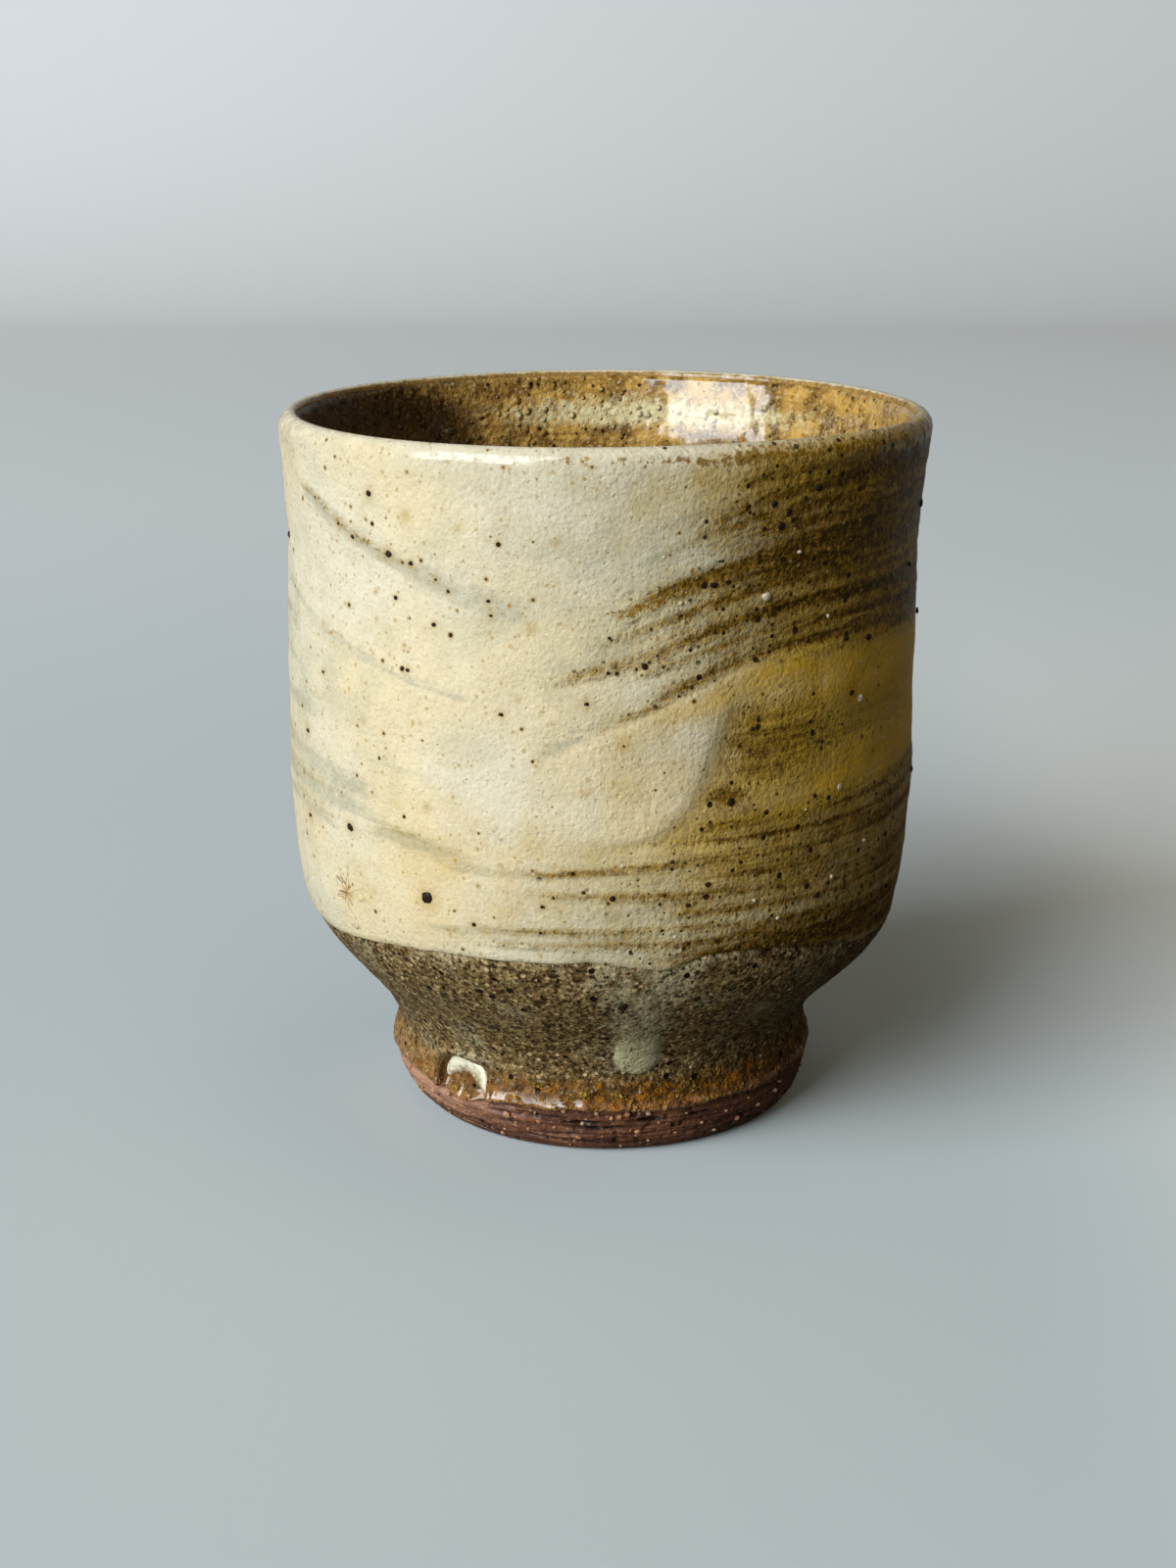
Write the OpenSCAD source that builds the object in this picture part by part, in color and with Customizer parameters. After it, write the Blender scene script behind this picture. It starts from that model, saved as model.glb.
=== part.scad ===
// Yunomi tea cup: a thrown stoneware bowl luted to a foot ring, brushed with pale slip and ash-glazed.
// Millimetres. The cup stands on Z = 0, its axis is Z and its front faces -Y.
// A place on the cup is an angle, in degrees from the front towards +X, and a height.

/* [Cup] */
// Height from the table to the top of the glazed lip
cup_height = 88.8; // [80:0.1:98]
// Glazed diameter just under the lip, the widest there is
lip_d = 80.2; // [76:0.1:84]
// Glazed diameter at the waist
waist_d = 78.3; // [75:0.1:81]
// Height of the waist
waist_z = 73; // [62:0.5:76]
// Glazed diameter at the belly
belly_d = 79.5; // [76:0.1:82]
// Height of the belly
belly_z = 44; // [38:0.5:54]
// Glazed diameter where the wall turns in towards the foot
hip_d = 76.4; // [72:0.1:79]
// Height of the hip
hip_z = 28; // [24:0.5:33]

/* [Clay] */
// Thickness of the clay at the lip
lip_t = 2; // [1.6:0.1:3]
// Height of the rounding on top of the lip
lip_rise = 1.5; // [1:0.1:2.5]
// Thickness of the clay wall at the waist
wall_t = 3.2; // [2.4:0.1:4.5]
// Thickness of the clay wall where the inside turns in
lower_wall_t = 4.4; // [3:0.1:5.5]
// Thickness of the clay floor over the foot ring
floor_t = 5.2; // [4:0.1:8]
// Radius of the flat in the middle of the inside floor
floor_flat_r = 10; // [4:0.5:16]
// Height of the rounding from the inside floor to the wall
floor_curve_h = 22; // [16:0.5:28]

/* [Foot] */
// Height of the foot ring, up to the crease under the bowl
foot_h = 10.4; // [8:0.1:13]
// Diameter of the foot's widest line
foot_d = 54.4; // [51:0.1:58]
// Height of the foot's widest line
foot_bulge_z = 5.6; // [4.6:0.1:6.2]
// Diameter of the crease where the foot meets the bowl
crease_d = 52.6; // [50:0.1:56]
// Outer diameter of the face that the cup stands on
base_d = 48.8; // [46:0.1:51]
// Thickness of the foot ring at the table
foot_ring_t = 4.4; // [3.4:0.1:7]
// How much the foot ring's bore widens up to the bowl, on each side
foot_bore_flare = 0.8; // [0:0.1:1.5]
// Bevel on the inner edge of the standing face
base_bevel = 0.7; // [0.3:0.1:1.2]
// How far the middle of the bowl's underside hangs into the foot ring
boss_drop = 1.8; // [1:0.1:3]

/* [Pressed mark] */
// Width of the plain recess pressed into the foot
mark_w = 7.4; // [5:0.1:9]
// Height of the recess
mark_h = 5; // [3.6:0.1:5.4]
// Height of the recess's middle over the table
mark_z = 7.6; // [7.3:0.1:7.8]
// Corner radius of the recess
mark_corner_r = 1.4; // [0.8:0.1:1.7]
// Depth of the recess at its middle, from the foot's widest line
mark_depth = 1.1; // [0.8:0.1:1.6]
// Where the recess is, round from the front
mark_angle = -40; // [-80:1:-30]
// Thickness of the glaze that pooled in the recess
pool_t = 0.5; // [0.3:0.05:0.7]
// Share of the recess's height that the pool fills, from its top
pool_share = 0.6; // [0.4:0.05:0.8]

/* [Coats] */
// Thickness of the brushed slip on the outside
slip_t = 0.25; // [0.15:0.05:0.5]
// Height of the slip's lower edge
slip_line_z = 28.6; // [26:0.1:32]
// Thickness of the ash glaze on the outside
glaze_t = 0.3; // [0.2:0.05:0.6]
// Height of the glaze's lower edge on the foot
glaze_line_z = 6.5; // [6.3:0.1:7.5]
// Thickness of the amber glaze on the foot
foot_glaze_t = 0.4; // [0.25:0.05:0.6]
// Thickness of the liner glaze inside
liner_t = 0.35; // [0.2:0.05:0.6]
// Thickness of the slip band inside
band_t = 0.2; // [0.1:0.05:0.4]
// Height of the inner slip band
band_h = 5.5; // [3:0.1:9]
// How far the band's top edge lies under the top of the lip
band_drop = 3.4; // [2.8:0.1:6]

/* [Glaze run] */
// Width of the run at its round end
run_w = 6.8; // [4:0.1:9]
// Width of the run where it leaves the slip
run_neck_w = 5.4; // [3:0.1:8]
// Height of the run's lowest point
run_end_z = 12.2; // [11:0.1:18]
// Thickness of the run
run_t = 0.5; // [0.3:0.05:0.8]
// Where the run is, round from the front
run_angle = 7; // [-10:1:25]

/* [Grains] */
// Diameter of the largest iron grain
iron_d = 1.9; // [1.2:0.1:2.6]
// Diameter of the largest feldspar grain
feldspar_d = 2; // [1.2:0.1:2.6]
// Diameter of the largest grain of grog in the bare clay
grog_d = 1.2; // [0.6:0.1:1.6]
// How far the largest grain stands out
grain_rise = 0.4; // [0.2:0.05:0.5]
// Grains of grog round the bare foot
grog_count = 18; // [6:1:30]
// Iron grains round the back of the cup
back_iron_count = 14; // [6:1:30]

/* [Hidden] */
round_fn = 96;
grain_fn = 32;
// Points along each stretch of the outline
step_count = 14;
corner_steps = 6;
coat_t = slip_t + glaze_t;
// Inner diameter of the foot ring at the table
foot_bore_d = base_d - 2 * foot_ring_t;
// How far cutting shapes run past what they cut
overrun = 2;
// Height where the rounding on top of the clay lip starts
lip_base_z = cup_height - coat_t - lip_rise;
floor_z = foot_h + floor_t;
turn_z = floor_z + floor_curve_h;
golden_angle = 137.5;
// Radius of the glaze run's round end
run_r = run_w / 2;
// Where the iron grains round the back lie: angles from the front, and shares of the cup's height
back_from_angle = 100;
back_to_angle = 260;
back_low_share = 0.38;
back_high_share = 0.92;
// Sizes of those grains, from the smallest to the largest, as shares of the largest at the front
back_size_shares = [0.5, 0.75];
// Where the grog in the bare foot lies, as shares of the glaze line's height
grog_low_share = 0.25;
grog_high_share = 0.75;
// Sizes of the grog, and how far it stands out, as shares of the largest grain's
grog_size_shares = [0.6, 1];
grog_rise_share = 0.5;
// Points across a grain's base where it is held off the surface, as shares of its radius
seat_shares = [-1, -0.75, -0.5, -0.25, 0, 0.25, 0.5, 0.75, 1];

// Iron grains that show at the front: angle, then height and size as shares of the cup's and the largest's
iron_shares = [[-41, 0.932, 0.55], [-38, 0.855, 0.5], [-31, 0.412, 1], [-48, 0.48, 0.7], [17, 0.83, 0.8],
    [36, 0.944, 0.75], [27, 0.925, 0.6], [30, 0.913, 0.6], [29, 0.883, 0.7], [3, 0.631, 0.65],
    [-3, 0.685, 0.7], [-17, 0.668, 0.55], [21, 0.549, 0.75], [75, 0.88, 0.7], [82, 0.72, 0.6],
    [78, 0.5, 0.75], [64, 0.36, 0.6]];
// Feldspar grains that show at the front, in the same way
feldspar_shares = [[27, 0.811, 1], [49, 0.652, 0.7], [44, 0.541, 0.8], [-49, 0.374, 0.6],
    [118, 0.62, 0.8], [-140, 0.78, 0.7], [170, 0.5, 0.9], [-112, 0.55, 0.6]];

// Slope of the straight line from knot i to the next, for a list of [height, radius] knots
function secant(knots, i) = (knots[i + 1][1] - knots[i][1]) / (knots[i + 1][0] - knots[i][0]);
// Slope of the smooth curve through the knots at knot i, level where the curve turns back
function knot_slope(knots, i) =
    i == 0 ? secant(knots, 0)
    : i == len(knots) - 1 ? secant(knots, i - 1)
    : secant(knots, i - 1) * secant(knots, i) <= 0 ? 0
    : 2 * secant(knots, i - 1) * secant(knots, i) / (secant(knots, i - 1) + secant(knots, i));
// The stretch of the knots that height z is in
function stretch_of(knots, z, i = 0) =
    i >= len(knots) - 2 || z <= knots[i + 1][0] ? i : stretch_of(knots, z, i + 1);
// Radius of the curve at height z
function curve_r(knots, z) =
    let (i = stretch_of(knots, z), h = knots[i + 1][0] - knots[i][0], s = (z - knots[i][0]) / h)
    (1 + 2 * s) * pow(1 - s, 2) * knots[i][1] + s * pow(1 - s, 2) * h * knot_slope(knots, i)
    + s * s * (3 - 2 * s) * knots[i + 1][1] + s * s * (s - 1) * h * knot_slope(knots, i + 1);
// Points [radius, height] on the curve from one height to another
function curve_points(knots, from_z, to_z) =
    [for (k = [0 : step_count]) let (z = from_z + (to_z - from_z) * k / step_count)
        [curve_r(knots, z), z]];

// Outline of the bare clay, as [height, radius] knots from the table to the lip
clay_knots = [[0, base_d / 2], [foot_bulge_z, foot_d / 2], [foot_h, crease_d / 2 - foot_glaze_t],
    [hip_z, hip_d / 2 - coat_t], [belly_z, belly_d / 2 - coat_t], [waist_z, waist_d / 2 - coat_t],
    [lip_base_z, lip_d / 2 - coat_t]];
// Outline of the clay inside, from where the floor's rounding ends to the lip
inside_knots = [[turn_z, curve_r(clay_knots, turn_z) - lower_wall_t],
    [waist_z, waist_d / 2 - coat_t - wall_t], [lip_base_z, lip_d / 2 - coat_t - lip_t]];
band_top_z = cup_height - band_drop;
band_low_z = band_top_z - band_h;

function without_first(points) = [for (i = [1 : len(points) - 1]) points[i]];
function reversed(points) = [for (i = [len(points) - 1 : -1 : 0]) points[i]];
// The rounding over the lip, from outside to inside
lip_points = [for (k = [0 : step_count]) let (a = 180 * k / step_count)
    [lip_d / 2 - coat_t - lip_t / 2 * (1 - cos(a)), lip_base_z + lip_rise * sin(a)]];
// The rounding inside, from the wall down to the flat of the floor
floor_points = [for (k = [0 : step_count]) let (a = 90 * k / step_count)
    [floor_flat_r + (inside_knots[0][1] - floor_flat_r) * cos(a), turn_z - floor_curve_h * sin(a)]];

// The clay's glazed skin as one line: up the outside, over the lip, down the inside and in to the axis
low_line = curve_points(clay_knots, foot_h, slip_line_z);
high_line = without_first(curve_points(clay_knots, slip_line_z, lip_base_z));
lip_line = without_first(lip_points);
neck_line = without_first(curve_points(inside_knots, lip_base_z, band_top_z));
band_line = without_first(curve_points(inside_knots, band_top_z, band_low_z));
inside_line = without_first(curve_points(inside_knots, band_low_z, turn_z));
skin = concat(low_line, high_line, lip_line, neck_line, band_line, inside_line,
    without_first(floor_points), [[0, floor_z]]);
// Where on that line each coat starts and stops
slip_start = step_count;
lip_end = 3 * step_count;
band_start = 4 * step_count;
band_end = 5 * step_count;
skin_end = len(skin) - 1;

// Unit normal of the skin at point i, away from the clay
function skin_normal(i) =
    let (along = skin[min(i + 1, skin_end)] - skin[max(i - 1, 0)]) [along[1], -along[0]] / norm(along);
// The skin from one point to another, raised off the clay; its end on the axis stays on the axis
function raised(from, to, t) = [for (i = [from : to]) let (p = skin[i] + skin_normal(i) * t)
    [i == skin_end ? 0 : p[0], i == 0 ? skin[0][1] : p[1]]];

// Outside of the foot ring, from the table up to the crease, and where the glaze on it starts
foot_line = concat(curve_points(clay_knots, 0, glaze_line_z),
    without_first(curve_points(clay_knots, glaze_line_z, foot_h)));
foot_glaze_line = curve_points(clay_knots, glaze_line_z, foot_h);
// Outlines that grains sit on, as [height, radius] rows: the glazed wall and the bare foot
glazed_rows = [for (p = raised(slip_start, 2 * step_count, coat_t)) [p[1], p[0]]];
foot_rows = [for (p = foot_line) [p[1], p[0]]];

// A whole turn of an outline given as [radius, height] points
module turned(points) rotate_extrude($fn = round_fn) polygon(points);

// Outline of a rectangle with round corners, centred on the origin
function round_rectangle(w, h, r) = [for (corner = [0 : 3], k = [0 : corner_steps])
    let (a = 90 * (corner + k / corner_steps), side = corner == 0 || corner == 3 ? 1 : -1)
    let (top = corner < 2 ? 1 : -1)
    [side * (w / 2 - r) + r * cos(a), top * (h / 2 - r) + r * sin(a)]];

// Stands an outline up at an angle round the cup and a height, and runs it out from one radius to another
module radial_prism(angle, z, from_r, to_r)
    rotate([0, 0, angle]) translate([0, -from_r, z]) rotate([90, 0, 0])
        linear_extrude(to_r - from_r) children();

// The pressed recess, as the tool that makes it
mark_floor_r = foot_d / 2 - mark_depth;
module mark_tool()
    radial_prism(mark_angle, mark_z, mark_floor_r, foot_d / 2 + overrun)
        polygon(round_rectangle(mark_w, mark_h, mark_corner_r));

// Outline of the glaze run seen from the front, with heights from the table: a neck and a round end
function run_outline() = concat(
    [[-run_neck_w / 2, slip_line_z - slip_t], [-run_r, run_end_z + run_r]],
    [for (k = [1 : 2 * corner_steps - 1]) let (a = 180 + 90 * k / corner_steps)
        [run_r * cos(a), run_end_z + run_r * (1 + sin(a))]],
    [[run_r, run_end_z + run_r], [run_neck_w / 2, slip_line_z - slip_t]]);

// A grain's cap, d wide and standing rise out of the surface that the rows give, at an angle and a height.
// Its flat base leans as the surface does and only touches it.
module grain(rows, angle, z, d, rise) {
    slope = (lookup(z + d / 2, rows) - lookup(z - d / 2, rows)) / d;
    seat_r = max([for (share = seat_shares) lookup(z + share * d / 2, rows) - slope * share * d / 2]);
    rotate([0, 0, angle]) translate([0, -seat_r, z]) rotate([90 + atan(slope), 0, 0])
        rotate_extrude($fn = grain_fn)
            polygon(concat([[0, 0]], [for (k = [0 : corner_steps]) let (a = 90 * k / corner_steps)
                [d / 2 * cos(a), rise * sin(a)]]));
}

module clay_bowl()
    color([0.36, 0.27, 0.21])
        turned(concat(skin, [[0, foot_h - boss_drop], [floor_flat_r, foot_h - boss_drop],
            [foot_bore_d / 2 + foot_bore_flare, foot_h]]));

module foot_ring()
    color([0.38, 0.23, 0.19])
        difference() {
            turned(concat(foot_line, [[foot_bore_d / 2 + foot_bore_flare, foot_h],
                [foot_bore_d / 2, base_bevel], [foot_bore_d / 2 + base_bevel, 0]]));
            mark_tool();
        }

module slip_coat()
    color([0.86, 0.82, 0.68])
        turned(concat(raised(slip_start, lip_end, 0), reversed(raised(slip_start, lip_end, slip_t))));

module inner_slip_band()
    color([0.72, 0.67, 0.5])
        turned(concat(raised(band_start, band_end, 0), reversed(raised(band_start, band_end, band_t))));

module outer_glaze()
    color([0.74, 0.68, 0.5])
        turned(concat(raised(0, slip_start, 0), raised(slip_start, lip_end, slip_t),
            reversed(raised(slip_start, lip_end, coat_t)), reversed(raised(0, slip_start, glaze_t))));

module liner_glaze()
    color([0.42, 0.28, 0.12])
        turned(concat(raised(lip_end, band_start, 0), raised(band_start, band_end, band_t),
            raised(band_end, skin_end, 0), reversed(raised(band_end, skin_end, liner_t)),
            reversed(raised(band_start, band_end, band_t + liner_t)),
            reversed(raised(lip_end, band_start, liner_t))));

module foot_glaze_band()
    color([0.5, 0.3, 0.1])
        difference() {
            turned(concat(foot_glaze_line, reversed([for (p = foot_glaze_line) p + [foot_glaze_t, 0]])));
            mark_tool();
        }

module glaze_run()
    color([0.66, 0.66, 0.56])
        intersection() {
            turned(concat(raised(0, slip_start, glaze_t),
                reversed(raised(0, slip_start, glaze_t + run_t))));
            radial_prism(run_angle, 0, foot_bore_d / 2, hip_d) polygon(run_outline());
        }

module mark_glaze_pool()
    color([0.78, 0.76, 0.62])
        intersection() {
            radial_prism(mark_angle, mark_z, mark_floor_r, mark_floor_r + pool_t)
                polygon(round_rectangle(mark_w, mark_h, mark_corner_r));
            radial_prism(mark_angle, mark_z + mark_h / 2 - mark_h * pool_share, mark_floor_r - overrun,
                foot_d / 2 + overrun)
                translate([-mark_w, 0]) square([2 * mark_w, mark_h]);
        }

// Grains on the glazed wall, from shares of [angle, cup's height, largest grain]
module wall_grains(shares, d)
    for (share = shares)
        grain(glazed_rows, share[0], share[1] * cup_height, d * share[2], grain_rise * share[2]);

// A steady scatter from 0 to 1, in which neighbours lie far apart
function scatter(k) = (k * golden_angle / 360) % 1;
// Sizes that repeat in threes, from the first share up to the second
function size_share(k, shares) = shares[0] + (shares[1] - shares[0]) * (k % 3) / 2;

module iron_spots()
    color([0.12, 0.08, 0.05]) {
        wall_grains(iron_shares, iron_d);
        wall_grains([for (k = [0 : back_iron_count - 1])
            [back_from_angle + (back_to_angle - back_from_angle) * scatter(k),
                back_low_share + (back_high_share - back_low_share) * (k + 0.5) / back_iron_count,
                size_share(k, back_size_shares)]], iron_d);
    }

module feldspar_grains()
    color([0.88, 0.84, 0.74]) wall_grains(feldspar_shares, feldspar_d);

module foot_grog()
    color([0.7, 0.5, 0.38])
        for (k = [0 : grog_count - 1]) {
            z = glaze_line_z * (grog_low_share + (grog_high_share - grog_low_share) * scatter(k));
            size = size_share(k, grog_size_shares);
            grain(foot_rows, 360 * k / grog_count, z, grog_d * size, grain_rise * grog_rise_share * size);
        }

clay_bowl();
foot_ring();
slip_coat();
inner_slip_band();
outer_glaze();
liner_glaze();
foot_glaze_band();
glaze_run();
mark_glaze_pool();
iron_spots();
feldspar_grains();
foot_grog();
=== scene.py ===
from math import cos, pi, radians, sin

import bpy
import numpy as np
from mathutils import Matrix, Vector, noise


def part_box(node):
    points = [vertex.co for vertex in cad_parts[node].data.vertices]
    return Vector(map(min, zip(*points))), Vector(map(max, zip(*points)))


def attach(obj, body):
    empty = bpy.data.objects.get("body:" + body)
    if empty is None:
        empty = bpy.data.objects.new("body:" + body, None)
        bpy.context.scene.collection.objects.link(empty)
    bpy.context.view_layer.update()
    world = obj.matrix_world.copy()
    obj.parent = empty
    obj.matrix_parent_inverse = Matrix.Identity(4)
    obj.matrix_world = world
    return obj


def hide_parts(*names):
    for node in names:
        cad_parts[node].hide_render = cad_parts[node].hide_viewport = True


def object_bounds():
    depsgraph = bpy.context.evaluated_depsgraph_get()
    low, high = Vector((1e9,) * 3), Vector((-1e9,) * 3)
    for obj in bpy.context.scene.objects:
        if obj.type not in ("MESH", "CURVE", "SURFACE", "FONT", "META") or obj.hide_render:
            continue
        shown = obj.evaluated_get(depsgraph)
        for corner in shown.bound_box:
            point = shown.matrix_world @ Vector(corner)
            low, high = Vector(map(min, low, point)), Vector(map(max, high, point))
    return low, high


# Yunomi tea cup. Outlines are in millimetres and become metres when they are turned.
# A place on the cup is an angle in degrees, from the front (-Y) towards +X, and a height.
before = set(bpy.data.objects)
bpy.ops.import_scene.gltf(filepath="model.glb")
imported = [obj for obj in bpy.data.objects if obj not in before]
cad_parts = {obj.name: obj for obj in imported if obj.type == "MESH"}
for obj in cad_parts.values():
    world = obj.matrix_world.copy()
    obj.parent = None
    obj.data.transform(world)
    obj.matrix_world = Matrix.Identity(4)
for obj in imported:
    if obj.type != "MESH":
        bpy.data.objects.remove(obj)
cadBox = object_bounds()
bpy.ops.object.select_all(action="DESELECT")
mm = 0.001
cupHeight = cadBox[1][2] / mm
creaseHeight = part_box("foot_ring")[1].z / mm
# radii at which arcs round the wall, between its grains and round the foot are measured
wallArc, grainArc, footArc = 38, 39.5, 27


# Lines and soft steps

def smoothLine(points, step):
    # even points about a step apart on a smooth line through the given ones
    p = np.array(points, float)
    dense = []
    for i in range(len(p) - 1):
        before, a, b, after = p[max(i - 1, 0)], p[i], p[i + 1], p[min(i + 2, len(p) - 1)]
        for t in np.linspace(0, 1, 40, endpoint=False):
            bend = (2 * before - 5 * a + 4 * b - after) * t + (3 * a - before - 3 * b + after) * t * t
            dense.append(a + 0.5 * t * (b - before + bend))
    dense = np.array(dense + [p[-1]])
    run = np.concatenate([[0], np.cumsum(np.linalg.norm(np.diff(dense, axis=0), axis=1))])
    where = np.linspace(0, run[-1], max(2, round(run[-1] / step) + 1))
    return np.column_stack([np.interp(where, run, dense[:, k]) for k in (0, 1)])


def directions(line):
    along = np.gradient(line, axis=0)
    return along / np.linalg.norm(along, axis=1)[:, None]


def offsetLine(line, distance):
    # the same line moved to its left, seen with the radius to the right and the height up
    along = directions(line)
    return line + np.column_stack([-along[:, 1], along[:, 0]]) * distance


def ease(x, low, high):
    t = np.clip((np.asarray(x, float) - low) / (high - low), 0, 1)
    return t * t * (3 - 2 * t)


def between(x, start, full, end, gone):
    # rises from 0 to 1, stays there and falls back to 0
    return ease(x, start, full) * (1 - ease(x, end, gone))


def bellAt(x, middle, width):
    return np.exp(-((x - middle) / width) ** 2)


def around(angle, middle):
    # signed difference of two angles, from -180 to 180
    return (angle - middle + 180) % 360 - 180


def facing(angle, middle, width):
    # 1 on the side of the cup at this angle, fading over the width in degrees
    return bellAt(around(angle, middle), 0, width)


def readTable(table, x):
    return np.interp(x, *np.array(table, float).T)


def cloudAt(points, size, seed=0.0):
    # soft noise from about -1 to 1 for points in millimetres
    moved = np.asarray(points) / size + np.array([17.3, 5.1, 9.7]) * seed
    return np.array([noise.noise(point) for point in moved.tolist()])


def polar(co):
    return np.degrees(np.arctan2(co[:, 0], -co[:, 1])), np.hypot(co[:, 0], co[:, 1]), co[:, 2]


def fromPolar(angle, radius, height):
    a = np.radians(angle)
    return np.column_stack([radius * np.sin(a), -radius * np.cos(a), height])


def ringPoints(angle, radius, height):
    # points for noise that depends only on the direction and the height
    a = np.radians(angle)
    return np.column_stack([radius * np.sin(a), radius * np.cos(a), height])


# The clay's shape

wall = dict(
    # finished outside, radius and height, from the crease to the lip's top
    outside=[(26.45, 9.2), (26.5, 10.2), (26.85, 11.3), (27.6, 13), (28.8, 15.05), (30.5, 17.1), (33.2, 20),
             (35.8, 23.1), (37.55, 26.1), (38.6, 29.6), (39.2, 33), (39.55, 38), (39.72, 44), (39.55, 50),
             (39.43, 55), (39.52, 60), (39.4, 65), (39.18, 70), (39.12, 74), (39.5, 79), (39.75, 83),
             (40.05, 86.2), (39.95, 87.7), (39.2, 88.65), (38.55, 88.8)],
    # finished inside, from the lip's top to the middle of the floor
    inside=[(38.55, 88.8), (37.95, 88.5), (37.5, 87.6), (37.15, 86.2), (36.5, 83), (35.95, 80), (35.6, 76),
            (35.5, 70), (35.5, 60), (35.3, 50), (34.8, 42), (33.8, 35), (31.2, 28), (26.5, 22), (19.5, 18),
            (12, 16.4), (6, 16.0), (0, 15.95)],
    segments=600)
outsideLine = smoothLine(wall["outside"], 0.2)
flareTop = 86.2


def outsideRadius(height):
    rising = outsideLine[:, 1] <= flareTop
    return np.interp(height, outsideLine[rising, 1], outsideLine[rising, 0])


footShape = dict(
    outside=[(23.9, 0), (24.55, 0.25), (25.3, 1), (26.1, 2.2), (26.75, 3.9), (27.1, 5.6), (26.95, 7.4),
             (26.55, 9), (26.2, 10.4)],
    boreRadius=20.0, boreFlare=0.8, bevel=0.7, segments=640,
    # where the trimming tool tore the clay: angle, half-length in degrees, height, depth
    tears=[(-4, 5, 4.7, 0.65), (-2, 6, 3.95, 0.65), (12, 4, 4.9, 0.6), (-15, 6, 5.3, 0.4), (2, 10, 1.6, 0.3),
           (27, 3, 4.9, 0.5), (-24, 5, 3.6, 0.35), (96, 8, 4.8, 0.5), (150, 10, 3.9, 0.45),
           (214, 8, 5.1, 0.5)])
footLine = smoothLine(footShape["outside"], 0.1)


def footRadius(height):
    return np.interp(height, footLine[:, 1], footLine[:, 0])


# Grains in the clay that broke through the glaze

ironGrains = dict(
    # angle, height and diameter of those that show at the front
    places=[(-41.8, 82.6, 0.8), (-38.1, 75.9, 0.9), (-30.6, 36.4, 1.5), (-48.1, 42.6, 1.1), (-50, 78.4, 0.8),
            (17.4, 73.6, 1.0), (36, 83.4, 1.1), (27.3, 82.1, 0.8), (30.2, 81.0, 0.9), (28.9, 79.6, 1.0),
            (3.3, 56, 0.8), (-2.8, 60.8, 0.8), (-16.7, 59.2, 0.6), (21.2, 48.8, 1.0), (2.8, 23.7, 1.2),
            (-46.5, 77.2, 0.6), (-19.2, 71.8, 0.45), (-18.7, 70.2, 0.45), (-28.5, 73.7, 0.5),
            (-33.4, 75.2, 0.7), (-36.8, 71, 0.45), (-29, 68.6, 0.45), (-34, 63, 0.5), (-63, 52, 0.8),
            (-63, 41.4, 0.8), (-56, 60.2, 0.5), (1.5, 38.2, 0.7), (-22, 34, 0.45), (-10, 37, 0.45),
            (44.6, 65.6, 0.9), (51, 65, 1.2), (46.5, 59, 1.1), (37, 60, 0.5), (25, 57, 0.5),
            (38, 47.8, 0.6), (14, 37, 0.6), (39.5, 35.4, 1.0), (10, 38.4, 0.5), (-78, 74, 0.9),
            (75, 78.2, 1.1), (82, 64, 0.9), (78, 44.4, 1.1), (64, 32, 0.9), (69, 71.5, 0.8)],
    atBack=34, rise=0.16)
feldsparGrains = dict(
    places=[(27, 71.8, 1.2), (49.3, 57.9, 1.1), (44.1, 48, 1.1), (-49.3, 29.8, 1.1), (12, 71.8, 0.6),
            (52, 40.2, 0.7), (31, 33.8, 0.6), (26, 36.6, 0.5), (43, 37.2, 0.5), (12, 33.2, 0.5),
            (36, 46.4, 0.4), (9, 77, 0.4), (33, 76.4, 0.6), (40, 68.6, 0.5), (-34, 69, 0.4), (118, 55, 1.2),
            (-140, 69, 1.0), (170, 44, 1.2), (-112, 49, 0.9)],
    rise=0.2)


# Meshes

def addMesh(add, name, **settings):
    bpy.ops.object.select_all(action="DESELECT")
    add(**settings)
    piece = bpy.context.object
    piece.name = piece.data.name = name
    return piece


def readPoints(piece):
    co = np.empty(len(piece.data.vertices) * 3)
    piece.data.vertices.foreach_get("co", co)
    return co.reshape(-1, 3) / mm


def writePoints(piece, co):
    piece.data.vertices.foreach_set("co", (co * mm).ravel())
    piece.data.update()


def paint(piece, **masks):
    for name, values in masks.items():
        attribute = piece.data.attributes.new(name, "FLOAT", "POINT")
        attribute.data.foreach_set("value", np.asarray(values, np.float32))


def faceOutward():
    bpy.ops.object.mode_set(mode="EDIT")
    bpy.ops.mesh.select_all(action="SELECT")
    bpy.ops.mesh.normals_make_consistent(inside=False)
    bpy.ops.object.mode_set(mode="OBJECT")


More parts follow.
